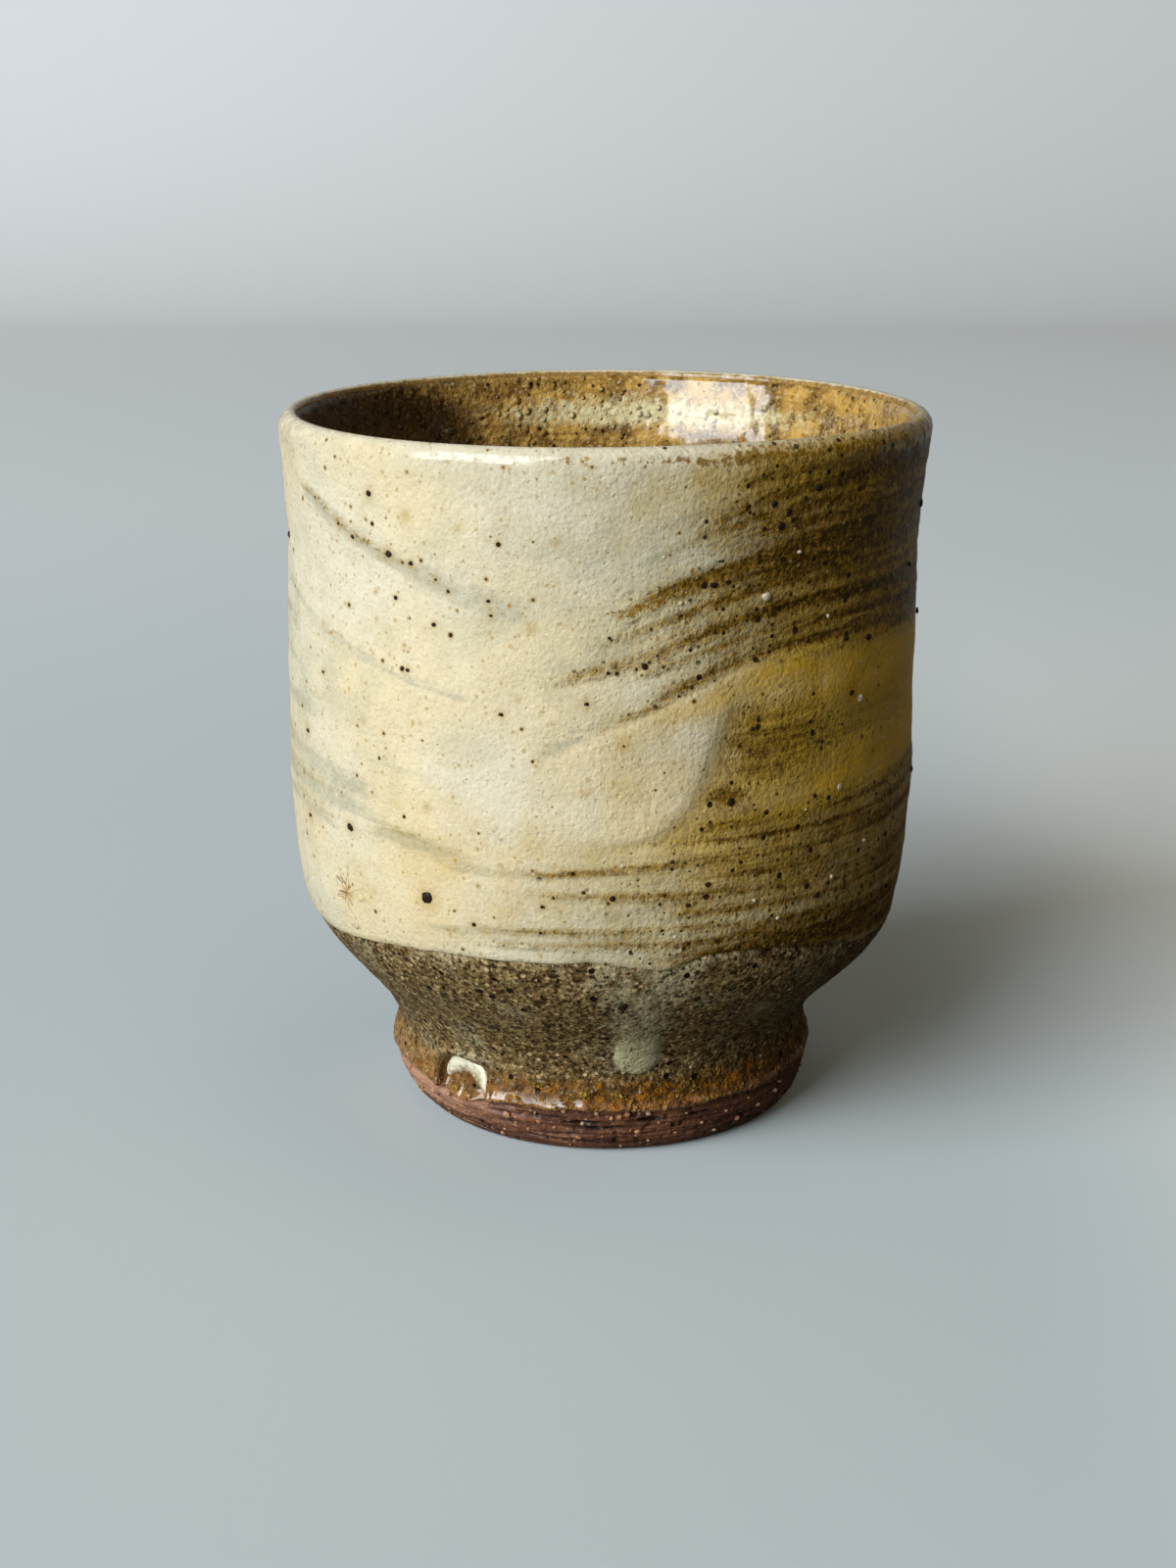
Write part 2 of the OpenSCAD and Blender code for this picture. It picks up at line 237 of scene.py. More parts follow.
def turnOnWheel(name, line, segments, closed=True):
    # draws the outline in the XZ plane and turns it a whole turn round Z
    joined = 0.002 * mm
    piece = addMesh(bpy.ops.curve.primitive_bezier_curve_add, name)
    piece.data.dimensions = "3D"
    piece.data.splines.clear()
    spline = piece.data.splines.new("POLY")
    spline.points.add(len(line) - 1)
    for point, (radius, height) in zip(spline.points, line):
        point.co = (radius * mm, 0, height * mm, 1)
    spline.use_cyclic_u = closed
    bpy.ops.object.convert(target="MESH")
    turn = piece.modifiers.new("turn", "SCREW")
    turn.axis, turn.angle, turn.screw_offset = "Z", 2 * pi, 0
    turn.steps = turn.render_steps = segments
    turn.use_merge_vertices, turn.merge_threshold = True, joined
    bpy.ops.object.modifier_apply(modifier="turn")
    bpy.ops.object.mode_set(mode="EDIT")
    bpy.ops.mesh.select_all(action="SELECT")
    bpy.ops.mesh.remove_doubles(threshold=joined)
    bpy.ops.mesh.delete_loose(use_verts=True, use_edges=True, use_faces=False)
    bpy.ops.object.mode_set(mode="OBJECT")
    faceOutward()
    bpy.ops.object.shade_smooth()
    return piece


def newSheet(name, across, along):
    # a flat sheet whose points run from -1 to 1 both ways
    counts = dict(x_subdivisions=across, y_subdivisions=along)
    piece = addMesh(bpy.ops.mesh.primitive_grid_add, name, size=2, **counts)
    bpy.ops.object.shade_smooth()
    x, y, flat = (readPoints(piece) * mm).T
    return piece, x, y, flat


def giveBack(piece, thickness):
    back = piece.modifiers.new("back", "SOLIDIFY")
    back.thickness = thickness * mm
    back.offset = -1
    bpy.ops.object.modifier_apply(modifier="back")


handThrown = dict(
    # how far the rings' middle leans towards +X at a height, as it left the wheel and was trimmed
    lean=[(0, 0.7), (5, 0.15), (14, 0), (18, 0.4), (22, 0.7), (25, 0.6), (29, 0.1), (54, 0.05), (75, 0.4),
          (89, 0.55)],
    oval=0.0035, lipWave=0.22, wobble=0.16)


def throwByHand(piece):
    # the same gentle unevenness for every piece, so what touches keeps touching
    x, y, z = readPoints(piece).T
    angle = np.arctan2(x, -y)
    swell = 1 + handThrown["oval"] * np.cos(2 * angle + 0.6) * ease(z, 12, 40)
    ring = ringPoints(np.degrees(angle), 30, z)
    swell = swell * (1 + handThrown["wobble"] * cloudAt(ring, 16, 3) / wallArc * ease(z, 12, 24))
    wave = 0.6 * np.sin(2 * angle + 1) + 0.4 * np.sin(3 * angle) - 0.35
    lifted = z + handThrown["lipWave"] * wave * ease(z, 70, cupHeight)
    writePoints(piece, np.column_stack([x * swell + readTable(handThrown["lean"], z), y * swell, lifted]))


def shapePiece(piece, angle, radius, height):
    writePoints(piece, fromPolar(angle, radius, height))
    throwByHand(piece)
    return piece


# How the brush went round: its strokes dip at the front and level off at the sides

brushFlow = dict(
    dip=[(-180, 0), (-72, 0), (-55, -1.9), (-46, -4.3), (-37, -6.3), (-29, -8.1), (-20, -10), (-12, -10.8),
         (-4, -9.6), (3, -7.6), (10, -5), (17, -3.2), (26, -1.6), (36, -0.5), (48, 0), (110, 0), (150, 1.5),
         (180, 0)],
    levelBelow=50, fullAbove=69)


def flowAt(angle, height):
    dip = readTable(brushFlow["dip"], angle)
    return height - dip * ease(height, brushFlow["levelBelow"], brushFlow["fullAbove"])


# Strokes of the brush: width in millimetres, strength, and points as angle and height.
# Here the slip was drawn thin and went grey.
greyStrokes = [
    (1.7, 0.8, [(-38, 75.2), (-30, 73.8), (-22, 72.2), (-14, 70.8), (-8, 70)]),
    (1.3, 0.9, [(-66, 81.8), (-52, 79), (-40, 75.8), (-29, 73.4), (-20, 71.5), (-11, 70.3)]),
    (0.8, 0.75, [(-80, 70), (-66, 67.6), (-56, 65.6), (-45, 63.8), (-36, 62), (-26, 61), (-18, 60.6)]),
    (1.2, 0.9, [(-86, 66.4), (-74, 64.8), (-64, 63.6)]),
    (1.0, 0.6, [(-76, 54.4), (-62, 56.6), (-50, 58.2), (-40, 58.4)]),
    (0.8, 0.7, [(-48, 51.8), (-40, 51.7), (-31, 51.2)]),
    (1.6, 0.95, [(-90, 49.8), (-66, 49.2), (-48, 48.2), (-40, 47.4)]),
    (1.2, 0.95, [(-90, 45.4), (-70, 45.6), (-52, 45.4), (-40, 44.8)]),
    (1.2, 0.9, [(-86, 42.2), (-66, 42.8), (-50, 42.4)]),
    (1.3, 1.0, [(-44, 43.8), (-34, 43.2), (-26, 42.2), (-20, 41.6)]),
    (1.5, 0.8, [(-90, 54.8), (-70, 55.2), (-56, 54.8)]),
    (1.4, 0.7, [(-88, 60.4), (-72, 60.2), (-58, 59.2)]),
    (1.2, 0.8, [(-14, 54.2), (-6, 56.2), (2, 58.4)]),
    (1.4, 0.5, [(-16, 66.4), (-8, 65.4), (2, 65)]),
    (0.7, 0.8, [(-34, 32.6), (-20, 33.4), (-4, 33.8), (10, 33.6)]),
    (0.6, 0.7, [(-30, 40.2), (-12, 40.8), (8, 41.6)]),
    (0.9, 0.9, [(4, 79.4), (16, 82), (30, 84), (50, 84.6)]),
    (0.9, 0.8, [(2, 75.4), (14, 78), (28, 79.6)]),
    (1.2, 0.8, [(214, 78), (236, 80), (262, 80.4)]),
    (1.0, 0.8, [(210, 56), (236, 57.4), (262, 57)]),
]
# Here the brush left the clay bare.
clayStrokes = [
    (0.5, 0.3, [(-66, 82.2), (-58, 80.9), (-51, 79.1), (-47, 77.7), (-38, 75.9), (-32, 74.6)]),
    (0.6, 0.26, [(-84, 46.6), (-70, 46.9), (-60, 46.6), (-46, 45.9)]),
    (0.6, 0.24, [(-76, 43.6), (-64, 44), (-52, 43.6)]),
    (0.5, 0.28, [(-42, 44.2), (-34, 43.8), (-26, 43)]),
    # right of the dip
    (1.3, 0.74, [(1, 70.2), (5, 71.6), (9.5, 72.8), (17.5, 74.7), (26, 76), (36, 77), (47, 77.6), (70, 78),
                 (100, 78)]),
    (0.7, 0.5, [(8, 71.4), (18, 73.4), (28, 74.6), (40, 75.4), (60, 75.6), (90, 75.4)]),
    (1.5, 0.36, [(12, 79.4), (22, 81.2), (33, 82.6), (46, 83.2), (70, 83.4), (100, 83)]),
    (1.0, 0.4, [(20, 84.6), (34, 85.4), (50, 85.4), (80, 85)]),
    (0.8, 0.42, [(24, 79), (36, 80.2), (50, 80.4), (80, 80.2)]),
    (0.6, 0.4, [(-4, 66.8), (4, 68.6), (12, 70.4), (22, 72.2), (36, 73.2), (60, 73.2), (90, 73)]),
    (0.9, 0.5, [(-10, 62.6), (-2, 64.2), (6, 65.6), (14, 67.6), (24, 69.6), (38, 70.6), (70, 70.4),
                (100, 70)]),
    (0.6, 0.46, [(2, 63), (10, 64.8), (18, 66.6), (28, 68), (44, 68.6), (80, 68.2)]),
    (0.8, 0.56, [(-12, 54.4), (-4, 56.6), (2, 58.4), (9, 60.8), (17, 63.4), (26, 65.4), (40, 66.2),
                 (70, 65.8), (100, 65)]),
    (1.0, 0.3, [(4, 60.4), (10, 62), (16, 63.8), (24, 65.6)]),
    (0.9, 0.56, [(17, 50.4), (21, 49.8), (25, 49.2)]),
    (0.7, 0.46, [(13, 45.6), (20, 46), (30, 46), (46, 46.2), (70, 47), (90, 48)]),
    (0.5, 0.42, [(10, 44.4), (22, 44.4), (40, 44.2), (62, 44.6), (84, 45.4)]),
    (0.45, 0.55, [(-14, 40.6), (0, 41.4), (14, 42.2), (30, 42), (50, 41.6), (74, 42), (96, 43)]),
    (0.7, 0.4, [(18, 40), (36, 39.8), (60, 39.4), (90, 40)]),
    (0.6, 0.36, [(-14, 38.2), (0, 38.4), (12, 38.2), (34, 37.6), (60, 37.4), (84, 38)]),
    (0.6, 0.42, [(8, 35.8), (24, 36), (44, 35.4), (70, 35.6)]),
    (0.5, 0.36, [(-20, 33.6), (-4, 34), (10, 34.2), (30, 33.6), (60, 33.4), (84, 34)]),
    (0.6, 0.4, [(-24, 31.6), (-8, 32), (6, 32.2), (22, 32), (44, 31.2), (62, 31), (84, 31)]),
    (1.1, 0.4, [(10, 30), (24, 30.6), (44, 29.4), (62, 28.4), (84, 28)]),
    # round the back
    (1.0, 0.5, [(96, 58), (112, 60.5), (130, 62), (150, 61), (172, 57)]),
    (1.5, 0.62, [(100, 73), (120, 74.5), (145, 73.8), (170, 70.5), (186, 68)]),
    (0.9, 0.42, [(110, 66.5), (130, 68.4), (152, 67.6), (176, 64)]),
    (0.8, 0.45, [(104, 50), (125, 51.5), (150, 50.8), (178, 49)]),
    (1.2, 0.5, [(150, 80), (170, 77.5), (190, 73.6), (206, 70.4)]),
    (0.9, 0.34, [(186, 62), (204, 60), (222, 60.4), (242, 63)]),
    (0.7, 0.45, [(120, 41), (150, 40.4), (180, 40.8), (212, 42)]),
    (0.6, 0.36, [(170, 35.6), (200, 35.2), (232, 36.4)]),
    (0.8, 0.4, [(214, 80.5), (232, 82), (252, 83.4), (276, 84.6)]),
    (1.0, 0.34, [(216, 72), (236, 73.8), (258, 74.8), (280, 74)]),
    (0.8, 0.3, [(206, 52.4), (228, 53.4), (252, 52.6), (274, 50)]),
]
# Here iron melted golden brown into the glaze, at the strokes' tips and along the lip.
goldStrokes = [
    (0.9, 0.85, [(-2, 69.6), (4, 71), (10, 72.4), (16, 73.6)]),
    (0.8, 0.7, [(8, 62.6), (14, 64), (20, 65.2), (27, 66.4)]),
    (0.6, 0.8, [(2, 38), (8, 38.2), (15, 38.2)]),
    (1.0, 0.9, [(15, 49), (20, 49), (26, 48.8)]),
    (0.5, 0.72, [(-64, 81.9), (-57, 80.7), (-50, 78.8), (-44, 77.2), (-36, 75.5)]),
    (0.5, 0.5, [(-40, 76.2), (-34, 74.9), (-26, 73.2)]),
    (0.8, 0.66, [(16, 88.1), (30, 88.1), (60, 88.1), (112, 88.1)]),
    (0.6, 0.75, [(-12, 87.6), (4, 87.4), (20, 87.3), (40, 87.3), (70, 87.3), (110, 87.3)]),
    (0.9, 0.7, [(12, 86.9), (24, 86.9), (40, 86.8), (70, 86.8)]),
    (0.8, 0.5, [(22, 85.6), (34, 85.6), (50, 85.4)]),
    (0.8, 0.7, [(130, 62), (142, 62.4), (156, 61.4)]),
    (0.8, 0.6, [(196, 71), (206, 70.4), (216, 70)]),
]
ochreStrokes = [
    (1.6, 0.7, [(24, 62.6), (32, 63.6), (44, 63.6), (60, 63), (84, 62.6)]),
    (1.3, 1.0, [(34, 49.6), (44, 49.8), (52, 50.8), (60, 52.4), (68, 53.8), (84, 55)]),
    (1.6, 0.3, [(-6, 54.2), (4, 57), (14, 60), (22, 62), (30, 63.4)]),
    (0.9, 0.8, [(16, 46.2), (30, 46.8), (46, 47.2)]),
]
# Soft rusty spots in the slip, like the larger grains' haloes: angle, height, size
rustSpots = [(-34, 80.6, 0.8), (-24, 79.8, 0.4), (-8, 78.6, 0.4), (-12, 69, 0.7), (-44, 56, 0.3),
             (-30, 47.4, 0.5), (-56, 66, 0.4), (-20, 33.4, 0.6), (10, 47.4, 0.4), (-3, 50.6, 0.5),
             (-14, 61, 0.3), (4, 33.6, 0.5)]
# Patches: angle and height of the middle, half-width in degrees, half-height in millimetres, strength
thinPatches = [
    (76, 78, 52, 14, 0.48), (60, 85.5, 48, 6, 0.5), (32, 77.5, 22, 7, 0.34), (30, 69.5, 36, 6, 0.34),
    (66, 68, 46, 5, 0.4), (20, 49.6, 8, 3, 0.4), (52, 44.5, 46, 5, 0.34), (60, 38, 54, 10, 0.28),
    (58, 31, 58, 6, 0.28), (20, 37, 34, 9, 0.2), (44, 77, 24, 9, 0.4), (37, 29.8, 28, 3.2, 0.85),
    (74, 28, 30, 3.4, 0.3), (104, 72, 40, 15, 0.5), (104, 40, 44, 12, 0.5), (160, 74, 40, 9, 0.4),
    (200, 40, 44, 9, 0.34),
]
# The same over the slab at the right
hazyPatches = [
    (28, 55, 16, 8, 0.5), (48, 55, 24, 4, 0.3), (20.5, 49.4, 5, 1.6, 0.85), (22, 69.4, 22, 4, 0.32),
]
ochrePatches = [
    (66, 58, 48, 10, 0.9), (60, 50, 38, 6, 0.85), (64, 72, 54, 22, 0.9), (46, 86.4, 40, 2.6, 0.5),
    (90, 86.6, 44, 3, 0.6), (18, 82, 22, 5, 0.14), (44, 84.6, 36, 4, 0.75), (24, 44, 22, 7, 0.4),
    (52, 40, 54, 14, 0.55), (4, 53, 22, 9, 0.4), (-16, 46, 34, 9, 0.34), (-28, 36, 42, 8, 0.3),
    (34, 55, 17, 9, 0.62), (-30, 66, 26, 8, 0.18), (-20, 82, 34, 7, 0.14), (134, 56, 44, 12, 0.8),
    (222, 46, 50, 12, 0.5), (196, 80, 34, 9, 0.35),
]
# Where the glaze gathered and went grey-green
greenPatches = [
    (5, 41, 16, 10, 0.6), (30, 54.5, 18, 6, 0.75), (48, 56, 26, 6, 0.85), (60, 44, 44, 5, 0.5),
    (2, 34, 14, 8, 0.55), (-14, 71, 16, 4, 0.5), (10, 76, 34, 10, 0.6), (2, 65, 22, 6, 0.45),
    (-64, 60, 24, 9, 0.34), (-60, 47, 30, 6, 0.3), (26, 82, 24, 4, 0.45), (66, 32, 42, 8, 0.7),
    (150, 46, 24, 14, 0.4),
]
# Where one lap of slip ends on another: the raised side is above the line, or left of it
slipLaps = [
    dict(path=[(-70, 83), (-55, 79.8), (-47, 77.2), (-38, 75.2), (-29, 73.4), (-18, 71.4)], rise=0.16,
         reach=5),
    dict(path=[(-76, 68), (-56, 65), (-45, 63), (-34, 61)], rise=0.12, reach=4),
    dict(path=[(-12, 53.4), (-4, 55.8), (9, 60), (17, 62.6), (26, 64.6), (40, 65.4), (70, 65)], rise=-0.2,
         reach=5),
    dict(path=[(-52, 42.8), (-36, 42.4), (-22, 42)], rise=0.12, reach=3),
    dict(path=[(100, 64), (130, 66.6), (160, 65), (190, 60)], rise=0.18, reach=5),
]
slipTongue = dict(
    # the thick tongue of slip at the front ends in a round edge: (angle, height) down its right side
    edge=[(22, 62), (20, 58), (17.5, 54), (15.5, 50), (12.5, 47), (7, 45), (0, 44)], rise=0.34, reach=16)


def unroll(path, angle):
    # a stroke's points, and the angles turned so that they run on along it
    ends = np.array(path, float)
    middle = ends[:, 0].mean()
    return ends, middle + around(angle, middle)


def strokeMask(stroke, angle, height):
    width, strength, path = stroke
    ends, turned = unroll(path, angle)
    start, end = ends[0, 0], ends[-1, 0]
    fade = between(turned, start - 2, start + 7, end - 7, end + 3)
    return strength * bellAt(height, readTable(smoothLine(ends, 0.5), turned), width) * fade


def patchMask(patch, angle, height):
    middle, level, halfWidth, halfHeight, strength = patch
    across = around(angle, middle) / halfWidth
    up = (height - level) / halfHeight
    return strength * np.exp(-1.6 * (across ** 2 + up ** 2) ** 1.25)


def blendMasks(masks):
    left = 1.0
    for mask in masks:
        left = left * (1 - np.clip(mask, 0, 1))
    return 1 - left


def tongueInward(angle, height):
    # how many degrees a point lies inside the tongue's right edge
    edge = np.array(slipTongue["edge"], float)[::-1]
    return np.interp(height, edge[:, 1], edge[:, 0]) - angle


def lapRelief(angle, height):
    # how far the laps of slip stand up, in millimetres
    relief = np.zeros_like(height)
    for lap in slipLaps:
        ends, turned = unroll(lap["path"], angle)
        up = height - readTable(ends, turned)
        start, end = ends[0, 0], ends[-1, 0]
        fade = between(turned, start, start + 10, end - 10, end)
        relief += lap["rise"] * ease(up, -0.35, 0.35) * np.exp(-np.maximum(up, 0) / lap["reach"]) * fade
    inward = tongueInward(angle, height)
    tongue = ease(inward, -2.4, 2.4) * np.exp(-np.maximum(inward, 0) / slipTongue["reach"])
    return relief + slipTongue["rise"] * tongue * between(height, 43, 46, 58, 63)


def cover(angle, height, strokes=(), patches=()):
    # how much of each point these strokes and patches cover, from 0 to 1
    masks = [strokeMask(stroke, angle, height) for stroke in strokes]
    return blendMasks(masks + [patchMask(patch, angle, height) for patch in patches])


def paintBrushwork(piece, angle, height):
    clay = cover(angle, height, clayStrokes, thinPatches)
    # the slab of slip at the right covers the clay
    slab = between(angle, 14, 30, 76, 96) * between(height, 47.6, 50.4, 62.6, 64.6)
    clay = np.maximum(clay * (1 - 0.8 * slab), cover(angle, height, patches=hazyPatches))
    # the thick tongue stays cream, and a band of painted shade in the glaze's green lies beside its edge
    inward = tongueInward(angle, height)
    span = between(height, 43, 46, 56.5, 61)
    tongue = ease(inward, -2.2, 2.4) * span * ease(angle, -34, -14)
    shadeBesideTongue = 0.7 * bellAt(inward, -2.4, 2.6) * span
    # the slip thins out at its lower edge
    border = readTable(slipCoat["edge"], angle)
    clay = np.maximum(clay * (1 - 0.9 * tongue), 0.34 * bellAt(height - border, -0.2, 0.8))
    ochre = cover(angle, height, ochreStrokes, ochrePatches) * (1 - 0.45 * tongue)
    green = cover(angle, height, patches=greenPatches) * (1 - 0.8 * cover(angle, height, ochreStrokes))
    # rust round the larger grains of iron
    rust = []
    for grainAngle, level, size in ironGrains["places"] + rustSpots:
        away = np.hypot(np.radians(around(angle, grainAngle)) * grainArc, height - level)
        rust.append(0.55 * bellAt(away, 0, 0.12 + 0.9 * size))
    paint(piece, bareClay=clay, ochre=ochre, green=np.maximum(green * (1 - 0.8 * tongue), shadeBesideTongue),
          gold=cover(angle, height, goldStrokes), grey=cover(angle, height, greyStrokes),
          flow=flowAt(angle, height), rust=blendMasks(rust))
    return clay


# The slip-coated wall

slipCoat = dict(
    # height of its lower edge round the cup
    edge=[(-180, 28.4), (-150, 27.6), (-120, 28.6), (-90, 26.6), (-59, 27), (-40, 28.6), (-29, 29.3),
          (-9, 29.6), (-2.5, 29.9), (4, 29.2), (11, 28.6), (18, 30.1), (25, 30), (33, 29.4), (46, 27.7),
          (57, 26), (80, 25.6), (110, 27.4), (140, 29), (180, 28.4)],
    edgeThickness=0.12, backset=0.55, outerFrom=35.2, ridge=0.075, lump=0.1, swell=0.2)
slipEdgeHeight = 28.6


def makeBrushedSlip():
    outer = [p for p in wall["outside"] if p[1] > slipEdgeHeight - 2.6]
    outer = smoothLine(outer + wall["inside"][1:3], 0.5)
    outer = outer[np.argmax(outer[:, 1] > slipEdgeHeight):]
    # a small bead along the lower edge, then back up behind in few rings
    lowRadius, lowHeight = outer[0]
    bead = [(lowRadius - 0.3, lowHeight - 0.05), (lowRadius - 0.08, lowHeight - 0.06)]
    behind = offsetLine(outer, slipCoat["backset"])[::-1][4::7]
    last = (lowRadius - slipCoat["backset"], lowHeight + 0.5)
    piece = turnOnWheel("brushed_slip", np.vstack([bead, outer, behind[:-1], [last]]), wall["segments"])
    co = readPoints(piece)
    angle, radius, height = polar(co)
    # the lower edge wanders
    outerSide = radius > slipCoat["outerFrom"]
    rise = readTable(slipCoat["edge"], angle) - slipEdgeHeight
    rise = rise + 0.25 * cloudAt(fromPolar(angle, wallArc, 0 * height), 2.5, 5)
    moved = height + rise * (1 - ease(height, slipEdgeHeight, slipEdgeHeight + 9)) * outerSide
    radius = radius + (outsideRadius(moved) - outsideRadius(height)) * outerSide * (height < 60)
    height = moved
    clay = paintBrushwork(piece, angle, height)
    # brush ridges run with the strokes and are deepest where the slip is thin
    flow = flowAt(angle, height)
    fine = cloudAt(ringPoints(angle, wallArc / 9, flow / 0.75), 1, 1)
    broad = cloudAt(ringPoints(angle, wallArc / 9, flow / 2.3), 1, 2)
    ridge = slipCoat["ridge"] * (0.35 + 0.9 * clay) * (0.8 * fine + broad) - 0.16 * clay
    lump = slipCoat["lump"] * cloudAt(co, 4.2, 4) + slipCoat["swell"] * cloudAt(co, 11, 6)
    edge = slipCoat["edgeThickness"] * (1 - ease(height - slipEdgeHeight - rise, 0, 1.6)) * outerSide * 0.6
    onWall = 1 - ease(height, 84.5, 88)
    outward = (ridge + lump) * (0.35 + 0.65 * onWall) + edge + lapRelief(angle, height)
    inner = (radius < 38.35) & (height > 84)
    paint(piece, innerLip=ease(38.6 - radius, 0, 0.8) * (height > 84))
    radius = radius + outward * np.where(height > 87.8, 0.3, 1) * np.where(inner, 0.2, 1)
    radius = radius + 0.4 * inner * ease(88.5 - height, 0, 0.8)
    return shapePiece(piece, angle, radius, height)


# The bare glaze under it, down to the crease

def ashRelief(angle, height):
    # lumps in the glaze of the lower wall, in millimetres
    spot = fromPolar(angle, outsideRadius(height), height)
    return 0.09 * cloudAt(spot, 2.4, 7) + 0.06 * cloudAt(spot, 0.9, 8) - 0.1


def makeAshGlaze():
    outer = smoothLine([p for p in wall["outside"] if p[1] < 38], 0.42)
    outer = outer[outer[:, 1] < 34]
    behind = offsetLine(outer, 0.5)[::-1][1::8]
    piece = turnOnWheel("ash_glaze", np.vstack([outer, behind]), wall["segments"])
    angle, radius, height = polar(readPoints(piece))
    under = readTable(slipCoat["edge"], angle)
    sink = 0.28 * ease(height, under - 0.4, under + 0.6) + 0.5 * (1 - ease(height, 9.6, 11.4))
    # darker at the right side, away from the lamp: painted shade
    paint(piece, band=ease(height, 7, 13), burnt=0.5 * facing(angle, 74, 30),
          veil=0.2 * ease(height, under - 5, under) + 0.45 * facing(angle, 7, 9))
    return shapePiece(piece, angle, radius + ashRelief(angle, height) - sink, height)


# The inside

def makeLiner():
    inner = smoothLine(wall["inside"][1:], 0.6)
    behind = offsetLine(inner, 0.6)[::-1][2::8]
    line = np.vstack([inner, [(0, inner[-1][1] - 0.6)], behind[behind[:, 0] > 1]])
    line[len(inner) - 1, 0] = 0
    piece = turnOnWheel("liner", line, 480)
    co = readPoints(piece)
    angle, radius, height = polar(co)
    a = np.radians(angle)
    flow = height + 0.9 * np.sin(a + 0.4)
    throwing = 0.12 * np.sin(2 * pi * height / 5.2 + a) * (1 - 0.75 * ease(height, 70, 80))
    lump = 0.1 * cloudAt(co, 3.4, 11) + 0.12 * cloudAt(co, 1.4, 12)
    wallSide = ease(radius, 14, 30)
    radius = radius + (throwing + lump) * wallSide
    height = height + (lump + 0.18 * np.sin(2 * pi * radius / 4.4)) * (1 - wallSide) * ease(radius, 0.5, 4)
    radius = radius + 0.3 * ease(height, 87.9, 88.45)
    height = height - 0.35 * ease(height, 88.1, 88.45)
    # a band of slip under the lip, and painted shade where the inside turns from the light, darkest low down
    # on that side
    away = np.abs(around(angle, -108))
    band = bellAt(height, 83.2, 2.3) * (0.2 + 0.75 * ease(away, 30, 80))
    band = band * (1 - 0.85 * facing(angle, 106, 42))
    smoke = (1 - ease(away, 22, 62)) * (1 - 0.3 * ease(height, 84, 87))
    lowShade = 0.62 * (1 - ease(height, 75, 80)) * (1 - ease(away, 50, 110))
    paint(piece, flow=flow, slipBand=np.clip(band + 0.4 * bellAt(height, 74, 2.2), 0, 1),
          smoked=np.maximum(smoke, lowShade))
    return shapePiece(piece, angle, radius, height)


# The foot

pressedMark = dict(
    # a plain arched recess, open towards the bare clay below
    angle=-40, height=7.6, halfWidth=3.9, halfHeight=3.1, corner=2.5, depth=1.2, softness=0.2,
    # the middle of the pale pool along its arch: millimetres to the right and up, and the pool's width
    pool=[(-3.2, 7.0, 0.9), (-2.9, 8.1, 2.2), (-2.0, 9.0, 2.9), (-0.7, 9.4, 2.3), (0.7, 9.3, 2.4),
          (2.0, 8.7, 3.0), (2.8, 7.6, 2.5), (3.3, 6.5, 1.3), (3.4, 5.7, 0.6)])


def markAcross(angle):
    # millimetres to the right of the pressed recess's middle
    return np.radians(around(angle, pressedMark["angle"])) * footArc


def markDepth(angle, height, grow=0.0):
    # 1 in the plain recess and 0 outside it, with soft edges
    across = np.abs(markAcross(angle)) - pressedMark["halfWidth"] - grow
    up = height - pressedMark["height"] - pressedMark["halfHeight"] - grow
    r = pressedMark["corner"]
    outside = np.hypot(np.maximum(across + r, 0), np.maximum(up + r, 0)) - r
    inside = 1 - ease(np.maximum(outside, across), -pressedMark["softness"], pressedMark["softness"])
    return inside * ease(height, 4.2, 6.6)


def makeFootRing():
    flare, bevel, bore = footShape["boreFlare"], footShape["bevel"], footShape["boreRadius"]
    inner = smoothLine([(bore + flare, creaseHeight), (bore + 0.4, 5), (bore, bevel)], 1.1)
    under = smoothLine([(bore + bevel, 0), (22.3, 0), (23.9, 0)], 0.6)
    outer = smoothLine(footShape["outside"], 0.17)
    piece = turnOnWheel("foot_ring_clay", np.vstack([outer, inner, under[:-1]]), footShape["segments"])
    angle, radius, height = polar(readPoints(piece))
    isOuter = (radius > 23.2) & (height > 0.05) & (radius > footRadius(height) - 0.3)
    skin = ringPoints(angle, footArc, height)
    # grooves that grit drew round the ring while it was trimmed
    drag = ringPoints(angle, footArc / 7, height / 0.5)
    groove = np.minimum(cloudAt(drag, 1, 21) + 0.08, 0) * between(height, 0.6, 1.6, 5.9, 6.6)
    torn = np.zeros_like(height)
    for middle, reach, level, deep in footShape["tears"]:
        torn = torn - deep * bellAt(height, level, 0.26) * facing(angle, middle, reach)
    torn = 1.4 * torn * (0.7 + 0.8 * cloudAt(skin, 1.1, 25))
    ledge = -0.16 * bellAt(height, 5.7, 0.35) * (0.6 + cloudAt(skin, 5, 26))
    pits = -0.4 * ease(cloudAt(skin, 0.8, 22), 0.4, 0.58)
    lump = 0.12 * cloudAt(skin, 2.2, 23) + 0.08 * cloudAt(skin, 0.7, 24)
    move = 0.9 * groove + torn + ledge + pits * (height > 0.5) + lump * ease(height, 0.1, 0.8)
    move = move - pressedMark["depth"] * markDepth(angle, height)
    # lighter on the side towards the lamp: painted light
    paint(piece, torn=np.clip(-torn / 0.4, 0, 1), toasted=facing(angle, -84, 56) * ease(height, 1.2, 3.4))
    return shapePiece(piece, angle, radius + move * isOuter, height)


footGlaze = dict(thickness=0.32, wander=0.35)


